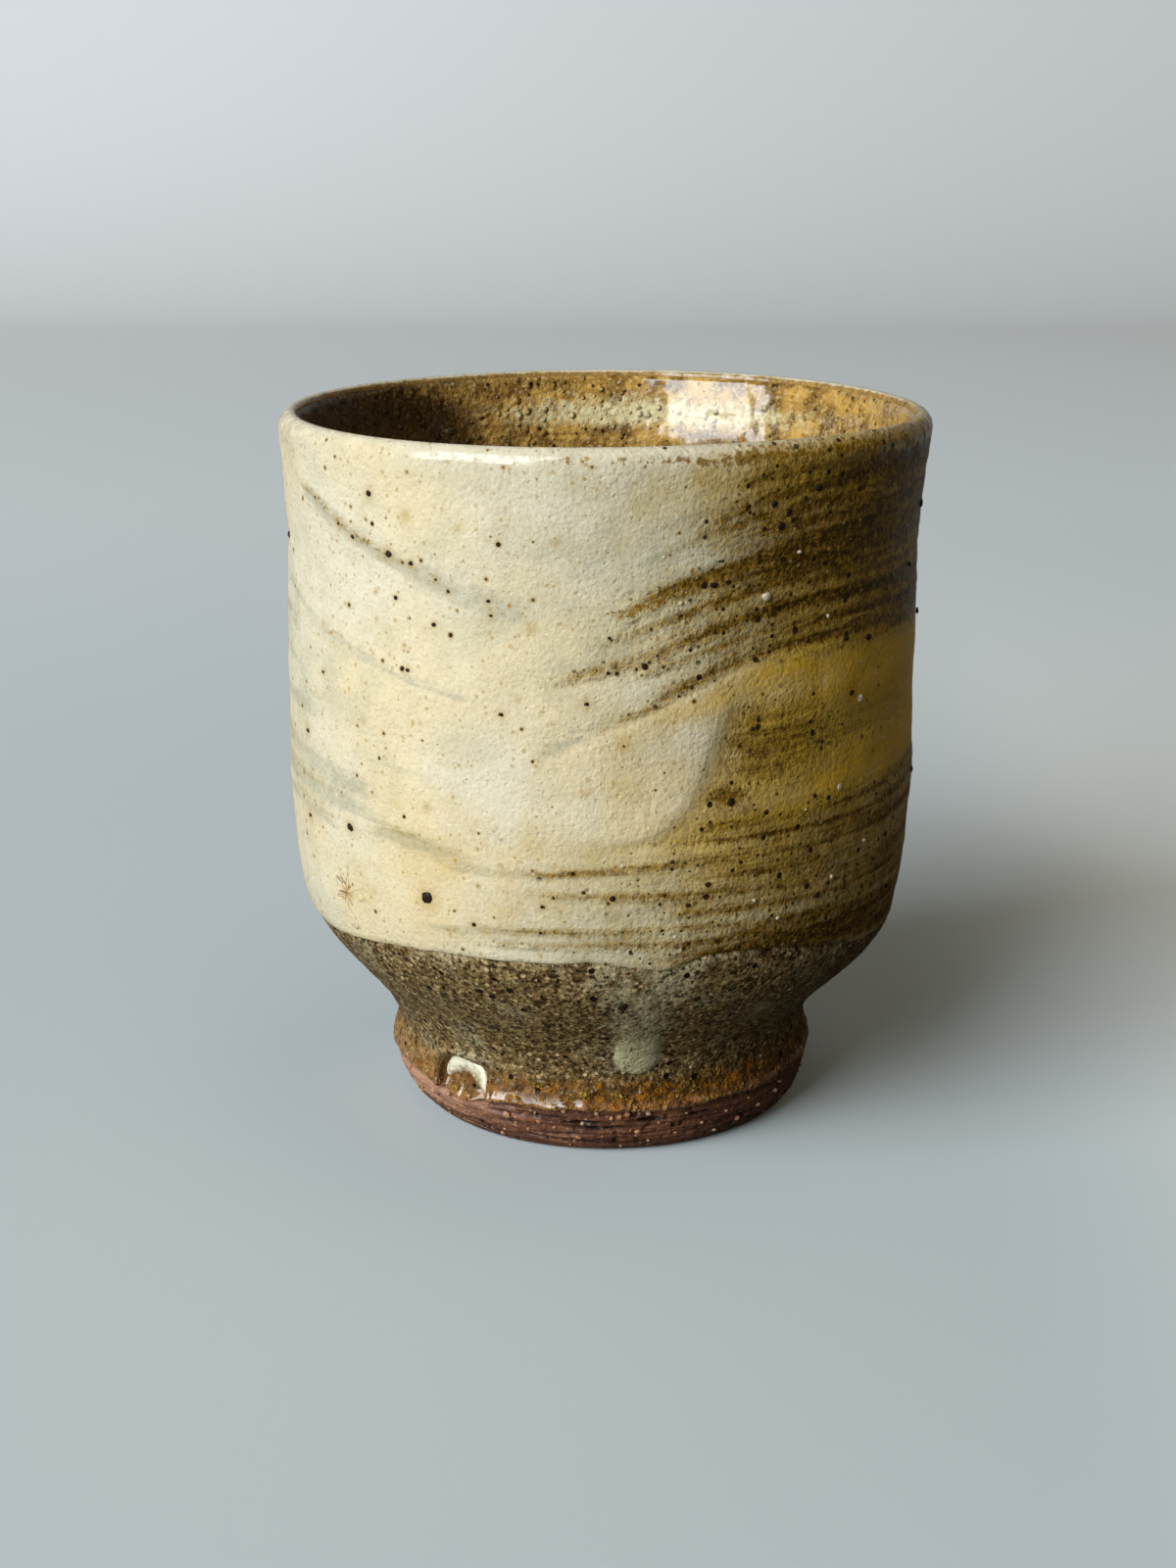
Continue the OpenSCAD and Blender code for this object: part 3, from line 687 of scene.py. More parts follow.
def makeFootGlaze():
    rising = [(footRadius(h) + footGlaze["thickness"], h) for h in (6.5, 7.5, 8.5, 9.5)]
    outer = smoothLine(rising + [(26.62, 10.4), (26.85, 11.2), (27.05, 12), (27.35, 12.8)], 0.24)
    low, high = outer[0], outer[-1]
    back = [(high[0] - 0.7, high[1]), (26.2, 11), (26.05, 10), (26.2, 9), (26.5, 8),
            (low[0] - 0.5, low[1] + 0.5)]
    bead = [(low[0] - 0.36, low[1] - 0.02), (low[0] - 0.16, low[1] - 0.16), (low[0] - 0.02, low[1] - 0.1)]
    piece = turnOnWheel("amber_band", np.vstack([bead, outer, back]), footShape["segments"])
    co = readPoints(piece)
    angle, radius, height = polar(co)
    ring = ringPoints(angle, footArc, 0 * height)
    wander = footGlaze["wander"] * (cloudAt(ring, 6, 31) + 0.5 * cloudAt(ring, 1.8, 32))
    wander = wander - 1.2 * facing(angle, pressedMark["angle"], 8)
    moved = height + wander * (1 - ease(height, 6.4, 9.4))
    radius = radius + np.where(height < 10.3, footRadius(np.minimum(moved, 10.3)) - footRadius(height), 0)
    fat = (0.2 + 0.32 * facing(angle, -6, 42)) * bellAt(height, 6.75, 0.52)
    fat = fat * (0.8 + 0.5 * cloudAt(ring, 2.4, 33))
    lump = (0.16 * cloudAt(co, 1.1, 34) + 0.16 * cloudAt(co, 2.6, 35)) * ease(height, 6.3, 6.8)
    under = 0.35 * ease(height, 10.6, 12.2)
    rim = markDepth(angle, moved, 0.9) - markDepth(angle, moved, 0.1)
    rim = rim * (0.3 + 0.3 * ease(moved, 9.8, 10.8))
    sunk = pressedMark["depth"] * markDepth(angle, moved, -0.1)
    # painted shade in the recess and along its left wall
    recessShade = 0.6 * markDepth(angle, moved) * ease(cloudAt(ring, 0.9, 36), -0.3, 0.3)
    leftWallShade = bellAt(markAcross(angle), -pressedMark["halfWidth"], 0.42) * between(moved, 4.5, 6, 9.2, 10.4)
    # lighter on the side towards the lamp: painted light
    paint(piece, band=ease(moved, 7, 13), burnt=np.maximum(recessShade, leftWallShade), toasted=facing(angle, -72, 40),
          veil=0.3 * facing(angle, pressedMark["angle"] + 4, 12) * ease(moved, 8.5, 10.5),
          rimmed=bellAt(height, 6.8, 0.7) * (0.5 + 0.5 * ease(cloudAt(ring, 2.2, 37), -0.3, 0.3)))
    return shapePiece(piece, angle, radius + fat + lump - under + rim - sunk, moved)


def makeClayBowl():
    outer = offsetLine(smoothLine([p for p in wall["outside"] if p[1] < 87], 2.5), 0.62)
    inner = offsetLine(smoothLine(wall["inside"][3:], 2.5), 0.65)
    under = smoothLine([(0, 8.6), (10, 8.75), (15, 9.3), (19, 10.1), (20.6, creaseHeight),
                        (25.6, creaseHeight)], 0.4)
    line = np.vstack([under, outer[1:], [(38.6, 87.6)], inner])
    line[-1, 0] = 0
    piece = turnOnWheel("clay_body", line, 360, closed=False)
    co = readPoints(piece)
    angle, radius, height = polar(co)
    # the spiral that the trimming tool left under the bowl
    below = (height < 10.45) & (radius < 20.7)
    spiral = 0.16 * np.sin(2 * pi * (radius / 1.9) - np.radians(angle)) * ease(radius, 0.4, 2.5)
    return shapePiece(piece, angle, radius, height + below * (spiral + 0.08 * cloudAt(co, 1.6, 41)))


# The pale run down the front

glazeRun = dict(angle=9.4, drift=-5.2, top=30.2, bottom=10.9, neck=2.8, end=3.15, thickness=0.55, lift=0.02)


def makeGlazeRun():
    piece, across, down, flat = newSheet("pale_run", 44, 110)
    along = (1 - down) / 2            # from 0 at the top to 1 at the end
    length = glazeRun["top"] - glazeRun["bottom"]
    height = glazeRun["top"] - along * length
    width = glazeRun["neck"] + (glazeRun["end"] - glazeRun["neck"]) * ease(along, 0.5, 0.8)
    pastNeck = np.clip(along - 1 + glazeRun["end"] / length, 0, 1) * length / glazeRun["end"]
    cap = np.sqrt(np.clip(1 - pastNeck ** 2, 0, 1))
    wobble = 0.3 * cloudAt(np.column_stack([flat, height, flat]), 2.6, 51)
    width = (width + wobble) * np.maximum(cap, 0.02)
    angle = glazeRun["angle"] + glazeRun["drift"] * (1 - along) ** 1.3
    turned = angle + np.degrees(across * width / outsideRadius(height))
    # its edges dive under the glaze that it ran over
    body = 0.1 + 0.9 * ease(along, 0.4, 0.95)
    dome = np.clip(1 - np.abs(across) ** 2.6, 0, 1) * np.maximum(cap, 0.05) ** 0.7
    rise = glazeRun["thickness"] * body * dome - 0.22 * np.abs(across) ** 6 - 0.2 * (1 - cap) ** 2
    rise = rise + glazeRun["lift"] - 0.2 * (1 - ease(along, 0.0, 0.07))
    shapePiece(piece, turned, outsideRadius(height) + ashRelief(turned, height) + rise, height)
    paint(piece, along=along - 0.1 * np.abs(across) ** 3, band=np.ones_like(along),
          veil=0.26 + 0.14 * ease(along, 0.2, 0.6) - 0.3 * np.abs(across) ** 4)
    giveBack(piece, 0.25)
    return piece


def makeMarkPool():
    # a ribbon bent along the arch, with a lobe at each side and a round section
    piece, u, v, flat = newSheet("mark_pool", 64, 18)
    pool = np.array(pressedMark["pool"])
    path = smoothLine(pool[:, :2], 0.05)
    run = (u + 1) / 2
    along = run * (len(path) - 1)
    x, z, ax, az = (np.interp(along, range(len(path)), c) for c in (*path.T, *directions(path).T))
    ends = np.sqrt(1 - 0.98 * u ** 8)
    width = np.interp(run * (len(pool) - 1), range(len(pool)), pool[:, 2]) * ends
    x, z = x - az * v * width / 2, z + ax * v * width / 2
    dome = np.sqrt(np.clip(1 - v * v, 0, 1)) * ends
    floor = footRadius(z) + footGlaze["thickness"] - pressedMark["depth"]
    radius = floor - 0.2 + 0.75 * dome + 0.25 * np.clip(v, -1, 1) * dome
    radius = radius + 0.04 * cloudAt(np.column_stack([x, z, flat]), 0.6, 52)
    shapePiece(piece, pressedMark["angle"] + np.degrees(x / footArc), radius, z)
    paint(piece, along=0.62 + 0.38 * v - 0.3 * ease(7.6 - z, 0, 1.5))
    giveBack(piece, 0.2)
    return piece


# Grains

grogGrains = dict(count=110, low=0.8, high=6.4, size=(0.3, 0.8), rise=0.26,
                  places=[(22, 9.4, 1.3), (-29, 6.6, 1.1), (-26, 4.6, 1.0), (-17, 4.4, 0.7), (9, 3.3, 0.9),
                          (-7, 2.4, 0.9), (4.5, 5.6, 0.8), (6.5, 5.9, 0.7), (-1.5, 6.1, 0.6),
                          (-10, 6.3, 0.7), (-13, 6.4, 0.6), (-20, 7.6, 0.6), (-4, 7.6, 0.5), (3, 7.8, 0.6),
                          (12, 5.9, 0.7)])


def makeGrains(name, places, surface, rise, seed):
    # one pebble, modelled once and copied with its own mesh to each place
    pebble = addMesh(bpy.ops.mesh.primitive_ico_sphere_add, name, subdivisions=2, radius=1)
    bpy.ops.object.shade_smooth()
    copies = []
    for i, (angle, height, size) in enumerate(places):
        # each one lies a little differently
        grain = bpy.data.objects.new(name, pebble.data.copy())
        bpy.context.scene.collection.objects.link(grain)
        co = readPoints(grain) * mm
        co = co * (1 + 0.34 * cloudAt(co, 0.8, seed + i)[:, None])
        turned = angle + np.degrees(co[:, 0] * size / 2 / surface(height))
        level = height + co[:, 2] * size / 2 * (0.85 + 0.2 * sin(i))
        out = co[:, 1] * rise * (0.7 + 0.5 * size)
        writePoints(grain, fromPolar(turned, surface(level) + out, level))
        copies.append(grain)
    bpy.data.objects.remove(pebble)
    for grain in copies:
        grain.select_set(True)
    bpy.context.view_layer.objects.active = copies[0]
    bpy.ops.object.join()
    piece = bpy.context.object
    piece.name = piece.data.name = name
    faceOutward()
    throwByHand(piece)
    return piece


def scatter(k, turn=0.618034):
    return (k * turn) % 1


# Nodes

class Value:
    # a number, place or colour in a node tree, so that sums of them are written as sums
    def __init__(self, tree, socket):
        self.tree = tree
        self.socket = socket

    def __add__(self, other):
        return calc("ADD", self, other)

    def __radd__(self, other):
        return calc("ADD", other, self)

    def __sub__(self, other):
        return calc("SUBTRACT", self, other)

    def __rsub__(self, other):
        return calc("SUBTRACT", other, self)

    def __mul__(self, other):
        return calc("MULTIPLY", self, other)

    def __truediv__(self, other):
        return calc("DIVIDE", self, other)

    def __rtruediv__(self, other):
        return calc("DIVIDE", other, self)

    def __pow__(self, other):
        return calc("POWER", self, other)

    def __abs__(self):
        return calc("ABSOLUTE", self)


def useNode(tree, kind, inputs, *outputs, **settings):
    # adds a node and gives back the outputs asked for: one value, or a list of them
    made = tree.nodes.new("ShaderNode" + kind)
    for key, setting in settings.items():
        setattr(made, key, setting)
    for key, given in inputs.items():
        if isinstance(given, Value):
            tree.links.new(given.socket, made.inputs[key])
        else:
            made.inputs[key].default_value = given
    values = [Value(tree, made.outputs[key]) for key in outputs]
    return values[0] if len(values) == 1 else values


def calc(operation, a, b=0.0):
    tree = (a if isinstance(a, Value) else b).tree
    return useNode(tree, "Math", {0: a, 1: b}, 0, operation=operation)


def largest(first, *others):
    for other in others:
        first = calc("MAXIMUM", first, other)
    return first


def step(value, low, high):
    inputs = {"Value": value, "From Min": low, "From Max": high}
    return useNode(value.tree, "MapRange", inputs, "Result", interpolation_type="SMOOTHSTEP")


def over(colour, shade, amount, mode="MIX"):
    # the shade laid over the colour by an amount from 0 to 1
    colour, shade = (c if isinstance(c, Value) else (*c, 1) for c in (colour, shade))
    inputs = {0: amount, 6: colour, 7: shade}
    return useNode(amount.tree, "Mix", inputs, 2, data_type="RGBA", blend_type=mode)


def split(vector):
    return useNode(vector.tree, "SeparateXYZ", {0: vector}, 0, 1, 2)


def joined(x, y, z):
    return useNode(x.tree, "CombineXYZ", {0: x, 1: y, 2: z}, 0)


def noiseAt(vector, size, detail=2.0, roughness=0.5):
    inputs = {"Vector": vector, "Scale": 1 / size, "Detail": detail, "Roughness": roughness}
    return useNode(vector.tree, "TexNoise", inputs, "Fac")


def positionMm(tree):
    where = useNode(tree, "TexCoord", {}, "Object")
    return useNode(tree, "VectorMath", {0: where, "Scale": 1 / mm}, 0, operation="SCALE")


def readPaints(where, *names):
    return [useNode(where.tree, "Attribute", {}, "Fac", attribute_name=name) for name in names]


def newGroup(name, numbers, results):
    # a group that reads a place in millimetres and some numbers, and gives back numbers
    group = bpy.data.node_groups.new(name, "ShaderNodeTree")
    group.interface.new_socket("Position", in_out="INPUT", socket_type="NodeSocketVector")
    for way, names in (("INPUT", numbers), ("OUTPUT", results)):
        for each in names:
            group.interface.new_socket(each, in_out=way, socket_type="NodeSocketFloat")
    given = group.nodes.new("NodeGroupInput").outputs
    return group, [Value(group, given[i]) for i in range(len(numbers) + 1)]


def closeGroup(group, *results):
    wanted = group.nodes.new("NodeGroupOutput").inputs
    for i, value in enumerate(results):
        group.links.new(value.socket, wanted[i])
    return group


def buildSpecks():
    # round specks of mixed sizes, with a soft halo where the iron bled into the glaze
    group, (where, cell, size, halo, share) = newGroup("scatteredSpecks", ["Cell", "Size", "Reach", "Share"],
                                                       ["Speck", "Halo"])
    distance, tint = useNode(group, "TexVoronoi", {"Vector": where, "Scale": 1 / cell}, "Distance", "Color")
    chance, growth = useNode(group, "SeparateColor", {0: tint}, 0, 1)
    shown = calc("LESS_THAN", chance, share)
    ratio = distance * cell / (size * (growth ** 2.0 + 0.45))
    speck = (1 - step(ratio, 0.75, 1.1)) * shown
    return closeGroup(group, speck, (1 - step(ratio / halo, 0.3, 1.1)) * shown)


def buildBrushLines():
    # fine lines that run with the brush
    group, (where, flow, length, width) = newGroup("brushLines", ["Flow", "Length", "Width"], ["Lines"])
    x, y = split(where)[:2]
    lines = noiseAt(joined(x / length, y / length, flow / width), 1.0, 3.0, 0.6)
    return closeGroup(group, step(lines, 0.28, 0.72))


def buildGlazeSkin():
    # orange peel, grit under the glaze and pinholes, as a height from 0 to 1
    group, (where, grain, pinholes) = newGroup("glazeSkin", ["Grain", "Pinholes"], ["Height"])
    distance = useNode(group, "TexVoronoi", {"Vector": where, "Scale": 0.8}, "Distance")
    hole = (1 - step(distance, 0.1, 0.2)) * pinholes
    return closeGroup(group, noiseAt(where, grain) * 0.55 + noiseAt(where, 2.4, 1.0) * 0.45 - hole)


specks = buildSpecks()
brushLines = buildBrushLines()
glazeSkin = buildGlazeSkin()


def specksAt(where, cell, size, halo, share):
    # the specks and their haloes; cell is how far apart they lie, in millimetres
    inputs = {0: where, 1: cell, 2: size, 3: halo, 4: share}
    return useNode(where.tree, "Group", inputs, 0, 1, node_tree=specks)


def linesAt(where, flow, length, width):
    inputs = {0: where, 1: flow, 2: length, 3: width}
    return useNode(where.tree, "Group", inputs, 0, node_tree=brushLines)


def skinAt(where, grain, pinholes):
    return useNode(where.tree, "Group", {0: where, 1: grain, 2: pinholes}, 0, node_tree=glazeSkin)


def shaderInput(material, name):
    return material.node_tree.nodes["Principled BSDF"].inputs[name.replace("_", " ")]


def newMaterial(name, **plain):
    # the material, and the place in millimetres that its textures read
    material = bpy.data.materials.new(name)
    material.use_nodes = True
    for key, value in plain.items():
        shaderInput(material, key).default_value = value
    return material, positionMm(material.node_tree)


def wireUp(material, **values):
    for key, value in values.items():
        value.tree.links.new(value.socket, shaderInput(material, key))
    return material


def bumpAt(height, depthMm):
    return useNode(height.tree, "Bump", {"Height": height, "Strength": 1.0, "Distance": depthMm * mm}, 0)


def layered(look, colour, *layers):
    # lays shades on a colour, each by an amount from 0 to 1; a name stands for a colour of the look
    for shade, amount, *mode in layers:
        colour = over(look.get(colour, colour), look.get(shade, shade), amount, *mode)
    return colour


slipFinish = dict(
    cream=(0.81, 0.745, 0.56), warm=(0.84, 0.715, 0.46), ochre=(0.82, 0.485, 0.035),
    green=(0.56, 0.53, 0.37), haze=(0.41, 0.35, 0.14), tan=(0.34, 0.21, 0.028), brown=(0.205, 0.112, 0.012),
    deep=(0.045, 0.023, 0.004), amber=(0.42, 0.22, 0.022), speck=(0.034, 0.019, 0.004),
    halo=(0.46, 0.26, 0.035), pale=(0.95, 0.89, 0.70), shade=(0.60, 0.52, 0.36), sand=(0.66, 0.55, 0.28),
    crack=(0.14, 0.06, 0.012), rusty=(0.66, 0.37, 0.1), grey=(0.50, 0.475, 0.35), gold=(0.31, 0.155, 0.004))
crackStar = dict(place=(-29.9, -24.8, 33.9), along=(cos(radians(-50)), sin(radians(-50)), 0),
                 reach=4.6, rays=1.9)


def starOfCracks(where):
    # fine cracks that run out from one place, and how warm the glaze is round it
    t = where.tree
    local = useNode(t, "VectorMath", {0: where, 1: crackStar["place"]}, 0, operation="SUBTRACT")
    aside = useNode(t, "VectorMath", {0: local, 1: crackStar["along"]}, "Value", operation="DOT_PRODUCT")
    flat = joined(aside, split(local)[2], 0.0)
    reach = useNode(t, "VectorMath", {0: flat}, "Value", operation="LENGTH")
    x, y = split(useNode(t, "VectorMath", {0: flat}, 0, operation="NORMALIZE"))[:2]
    rays = noiseAt(joined(x, y, reach * 0.16), 1 / crackStar["rays"], 1.0)
    crack = 1 - step(abs(rays - 0.5) * (0.25 + reach), 0.024, 0.062)
    crack = crack * (1 - step(reach, 0.8, crackStar["reach"]))
    return crack, (1 - step(reach, 0.2, 2.0)) * 0.5


def clayShades(amount, stops):
    made = amount.tree.nodes.new("ShaderNodeValToRGB")
    amount.tree.links.new(amount.socket, made.inputs[0])
    elements = made.color_ramp.elements
    for i, (at, shade) in enumerate(stops):
        stop = elements[i] if i < 2 else elements.new(at)
        stop.position, stop.color = at, (*shade, 1)
    return Value(amount.tree, made.outputs[0])


def slipMaterial():
    look = slipFinish
    material, where = newMaterial("brushedSlipUnderGlaze", Coat_Roughness=0.14, Coat_IOR=1.65,
                                  Specular_IOR_Level=0.05)
    height = split(where)[2]
    flow, bare, grey, ochre = readPaints(where, "flow", "bareClay", "grey", "ochre")
    green, gold, rust, lip = readPaints(where, "green", "gold", "rust", "innerLip")
    lines = linesAt(where, flow, length=26.0, width=1.5)
    fineLines = linesAt(where, flow, length=12.0, width=0.6)
    cloud = noiseAt(where, 5.0, 3.0)
    mottle = noiseAt(where, 1.4, 3.0, 0.6)
    grain = noiseAt(where, 0.62, 3.0, 0.66)
    grit = noiseAt(where, 0.42, 2.0, 0.6)
    streaks = (lines - 0.5) * 0.5 + (mottle - 0.5) * 0.9
    slip = layered(
        look, "cream",
        ("warm", step(noiseAt(where, 16.0), 0.35, 0.7)),
        ("green", step(cloud, 0.42, 0.75) * 0.4),
        # the green paint also holds painted shade beside the tongue's edge
        ("green", green * step(cloud, 0.2, 0.65)),
        ("grey", step(grey + streaks, 0.25, 1.1) * 0.85),
        ("ochre", step(ochre + (cloud - 0.5) * 0.5, 0.05, 1.0)),
        ("shade", step(mottle, 0.42, 0.8) * 0.22))
    # clay through it: a grey haze first, then tan, then brown along the bristle lines
    ragged = (lines - 0.5) * 0.36 + (fineLines - 0.5) * 0.14 + (mottle - 0.5) * 0.8 + (grit - 0.5) * 0.7
    shown = bare + ragged * step(bare, -0.1, 0.5)
    clay = layered(
        look, clayShades(shown, [(0.15, look["haze"]), (0.42, look["tan"]), (0.74, look["brown"]),
                                 (1.0, look["deep"])]),
        ("deep", step(grain, 0.5, 0.62) * 0.75),
        ("amber", step(grain, 0.46, 0.36) * 0.7))
    through = useNode(where.tree, "MapRange", {"Value": shown, "From Min": 0.0, "From Max": 0.72}, "Result")
    melted = over(look["gold"], look["brown"], step(grain, 0.52, 0.66))
    golden = step(gold + (grain - 0.5) * 3.0 + (mottle - 0.5) * 1.5, 0.6, 0.95)
    # the slip stays pale on top of the lip, and inside it was wiped thin
    crown = step(height, 87.7, 88.3) * (1 - lip) * step(mottle, 0.7, 0.4) * step(bare + gold, 0.7, 0.2)
    wiped = step(lip + (mottle - 0.5) * 1.3, 0.35, 0.9)
    # sandy grain in the glaze, pale on the slip partly as painted highlight for tiny glints, iron, and
    # pinpoints of rust
    dense = step(bare, 0.1, 0.5)
    strong = dense * 0.5 + 0.3
    sand = specksAt(where, cell=0.9, size=0.17, halo=1.4, share=0.5)[0]
    big, bigHalo = specksAt(where, cell=2.9, size=0.27, halo=1.9, share=0.4)
    mid, midHalo = specksAt(where, cell=1.6, size=0.17, halo=2.2, share=0.58)
    fine = specksAt(where, cell=0.95, size=0.22, halo=1.8, share=0.6)[0]
    rusty = specksAt(where, cell=2.1, size=0.2, halo=1.8, share=0.4)[0]
    extra = specksAt(where, cell=1.3, size=0.32, halo=1.6, share=0.65)[0]
    crack, warmth = starOfCracks(where)
    colour = layered(
        look, slip,
        (clay, through),
        (melted, golden * 0.85),
        ("cream", crown * 0.8),
        (over(look["amber"], look["brown"], step(grain, 0.42, 0.6)), wiped * 0.9),
        ("pale", step(grit, 0.5, 0.7) * strong, "SOFT_LIGHT"),
        ("haze", step(grit, 0.5, 0.3) * strong * 0.55, "MULTIPLY"),
        # pale specks: sand grains, and painted highlight for tiny glints
        (over(look["pale"], look["sand"], dense), sand * (dense * 0.15 + 0.4)),
        ("halo", largest(bigHalo * 0.6, midHalo * 0.7, fine * 0.5, rust)),
        ("halo", rusty * 0.85),
        ("rusty", warmth),
        ("crack", crack * 0.85),
        ("speck", largest(big, mid * 0.85, fine * dense * 0.9, extra * step(bare, 0.06, 0.3))))
    # relief, and gloss where the glaze lies thick on the lip
    relief = skinAt(where, grain=0.62, pinholes=0.2) + grain * (dense + 0.12) + grit * 0.2
    gloss = step(height, 84.5, 87.5) * step(noiseAt(where, 1.5, 3.0, 0.6), 0.4, 0.54)
    return wireUp(material, Base_Color=colour, Roughness=0.5 - dense * 0.12 + (grit - 0.5) * 0.35,
                  Normal=bumpAt(relief, 0.23), Coat_Weight=gloss * 0.85 + 0.09)


glazeFinish = dict(olive=(0.29, 0.2, 0.075), brown=(0.17, 0.1, 0.036), veil=(0.47, 0.415, 0.25),
                   fleck=(0.76, 0.57, 0.32), amber=(0.37, 0.14, 0.005), burnt=(0.085, 0.032, 0.006),
                   umber=(0.16, 0.08, 0.012), clot=(0.66, 0.42, 0.075), pit=(0.014, 0.009, 0.004),
                   toast=(0.52, 0.34, 0.16), rim=(0.60, 0.28, 0.10), run=(0.64, 0.59, 0.37),
                   runShade=(0.50, 0.455, 0.26))


def ashGlazeMaterial(name, bump=0.4, coat=1.0, coatIndex=1.5, milky=False):
    # grey-brown above, amber with yellow clots where it gathered on the foot
    look = glazeFinish
    material, where = newMaterial(name, Coat_Roughness=0.1, Coat_IOR=coatIndex, Specular_IOR_Level=0.06)
    cloud = noiseAt(where, 1.7, 3.0, 0.65)
    grit = noiseAt(where, 0.55, 3.0, 0.62)
    band, veil, toasted, burnt, rimmed = readPaints(where, "band", "veil", "toasted", "burnt", "rimmed")
    low = 1 - band
    clots = step(noiseAt(where, 1.9, 3.0, 0.7), 0.54, 0.66) * low
    amber = layered(
        look, "amber",
        ("burnt", step(noiseAt(where, 1.1), 0.4, 0.56)),
        ("umber", step(noiseAt(where, 2.6), 0.46, 0.6) * 0.6),
        ("clot", clots * 0.8),
        # lighter on the side towards the lamp: painted light
        ("toast", toasted * step(cloud, 0.3, 0.6) * 0.6))
    fleck = specksAt(where, cell=1.15, size=0.27, halo=1.5, share=0.55)[0]
    pit = specksAt(where, cell=1.6, size=0.34, halo=1.8, share=0.5)[0]
    colour = layered(
        look, "brown",
        ("olive", step(cloud, 0.42, 0.58)),
        ("pit", step(noiseAt(where, 1.2), 0.5, 0.36) * 0.6),
        ("veil", step(cloud + veil, 0.66, 0.95) * 0.75),
        ("veil", step(noiseAt(where, 7.0, 3.0), 0.52, 0.7) * 0.4),
        (amber, step(low + (cloud - 0.5) * 1.5, 0.25, 0.8)),
        # this darkening is painted shade, at the glaze's right side and in the pressed recess
        ("burnt", burnt * 0.85),
        ("rim", rimmed * step(grit, 0.35, 0.55) * 0.6),
        ("fleck", step(grit, 0.55, 0.67) * (band * 0.58 + 0.12)),
        ("pit", step(grit, 0.49, 0.38) * (band * 0.42 + 0.5)),
        ("fleck", fleck * (band * 0.5 + 0.35)),
        ("pit", pit))
    if milky:
        # the run is clouded, and its thick end opaque
        milk = layered(
            look, "run",
            ("runShade", step(cloud, 0.4, 0.65)),
            ("pit", step(grit, 0.6, 0.72) * 0.6))
        thick = step(readPaints(where, "along")[0] + (grit - 0.5) * 0.5, 0.6, 0.7)
        colour = layered(look, colour, ("veil", step(cloud, 0.35, 0.6) * 0.5), (milk, thick))
    relief = skinAt(where, grain=0.5, pinholes=0.6) + fleck * 0.5 - pit + clots * 0.6 + cloud * low
    # glossiest where it gathered along its lower edge
    return wireUp(material, Base_Color=colour, Roughness=grit * 0.2 + 0.3, Normal=bumpAt(relief, bump),
                  Coat_Weight=rimmed * (coat * 0.94) + coat * 0.06)


linerFinish = dict(deep=(0.035, 0.016, 0.004), brown=(0.2, 0.1, 0.016), amber=(0.68, 0.4, 0.085),
                   pale=(0.82, 0.72, 0.40), sand=(0.86, 0.7, 0.36))


def linerMaterial():
    material, where = newMaterial("amberLiner", Coat_Roughness=0.14, Coat_IOR=1.7, Specular_IOR_Level=0.12)
    flow, band, smoked = readPaints(where, "flow", "slipBand", "smoked")
    lines = linesAt(where, flow, length=14.0, width=1.4)
    mottle = noiseAt(where, 1.1, 3.0, 0.6)
    grit = noiseAt(where, 0.5, 2.0, 0.65)
    ragged = (mottle - 0.5) * 1.5
    slip = step(band + ragged, 0.25, 0.85)
    # painted shade: the inside darker at its left and low down, with less sand and gloss there
    shaded = step(smoked + ragged * 0.5, 0.2, 0.8)
    iron, halo = specksAt(where, cell=1.1, size=0.24, halo=2.0, share=0.5)
    offSlip = 1 - slip * 0.75
    colour = layered(
        linerFinish, "brown",
        ("amber", step(noiseAt(where, 3.4, 3.0, 0.6), 0.34, 0.62)),
        ("brown", step(lines, 0.3, 1.0) * 0.5),
        ("pale", slip),
        ("deep", shaded * 0.96),
        ("sand", step(grit, 0.52, 0.7) * (0.55 - shaded * 0.45)),
        ("brown", halo * 0.5 * offSlip),
        ("deep", iron * offSlip))
    swelling = specksAt(where, cell=1.3, size=0.42, halo=1.4, share=0.5)[1]
    relief = skinAt(where, grain=0.8, pinholes=0.4) + swelling * 0.8 + mottle * 0.6
    return wireUp(material, Base_Color=colour, Roughness=grit * 0.2 + 0.25, Normal=bumpAt(relief, 0.7),
                  Coat_Weight=1 - shaded * 0.85)


footFinish = dict(clay=(0.135, 0.052, 0.032), dark=(0.045, 0.019, 0.015), rust=(0.26, 0.105, 0.05),
                  toast=(0.58, 0.32, 0.205), grog=(0.62, 0.38, 0.22), pit=(0.015, 0.007, 0.005))


def footMaterial():
    material, where = newMaterial("toastedClay", Coat_Weight=0.3, Coat_Roughness=0.22,
                                  Specular_IOR_Level=0.12)
    toasted, torn = readPaints(where, "toasted", "torn")
    lines = linesAt(where, split(where)[2], length=9.0, width=0.42)
    mottle = noiseAt(where, 1.2, 3.0, 0.6)
    grit = noiseAt(where, 0.35, 2.0, 0.65)
    grog = specksAt(where, cell=1.1, size=0.2, halo=1.5, share=0.5)[0]
    pit = specksAt(where, cell=1.4, size=0.28, halo=1.5, share=0.45)[0]
    colour = layered(
        footFinish, "clay",
        ("rust", step(noiseAt(where, 4.5, 3.0, 0.6), 0.42, 0.68)),
        ("dark", step(lines, 0.4, 1.0) * 0.75),
        ("rust", step(mottle, 0.45, 0.7) * 0.4),
        # lighter on the side towards the lamp: painted light
        ("toast", step(toasted + (mottle - 0.5) * 0.6, 0.2, 0.9) * 0.85),
        ("grog", step(grit, 0.54, 0.72) * 0.4),
        ("grog", grog * 0.8),
        # the tears painted as dark as the pits: painted shade in them
        ("pit", largest(pit, torn)))
    relief = skinAt(where, grain=0.3, pinholes=0.7) - lines * 0.8 - pit
    return wireUp(material, Base_Color=colour, Roughness=grit * 0.3 + 0.42, Normal=bumpAt(relief, 0.2))


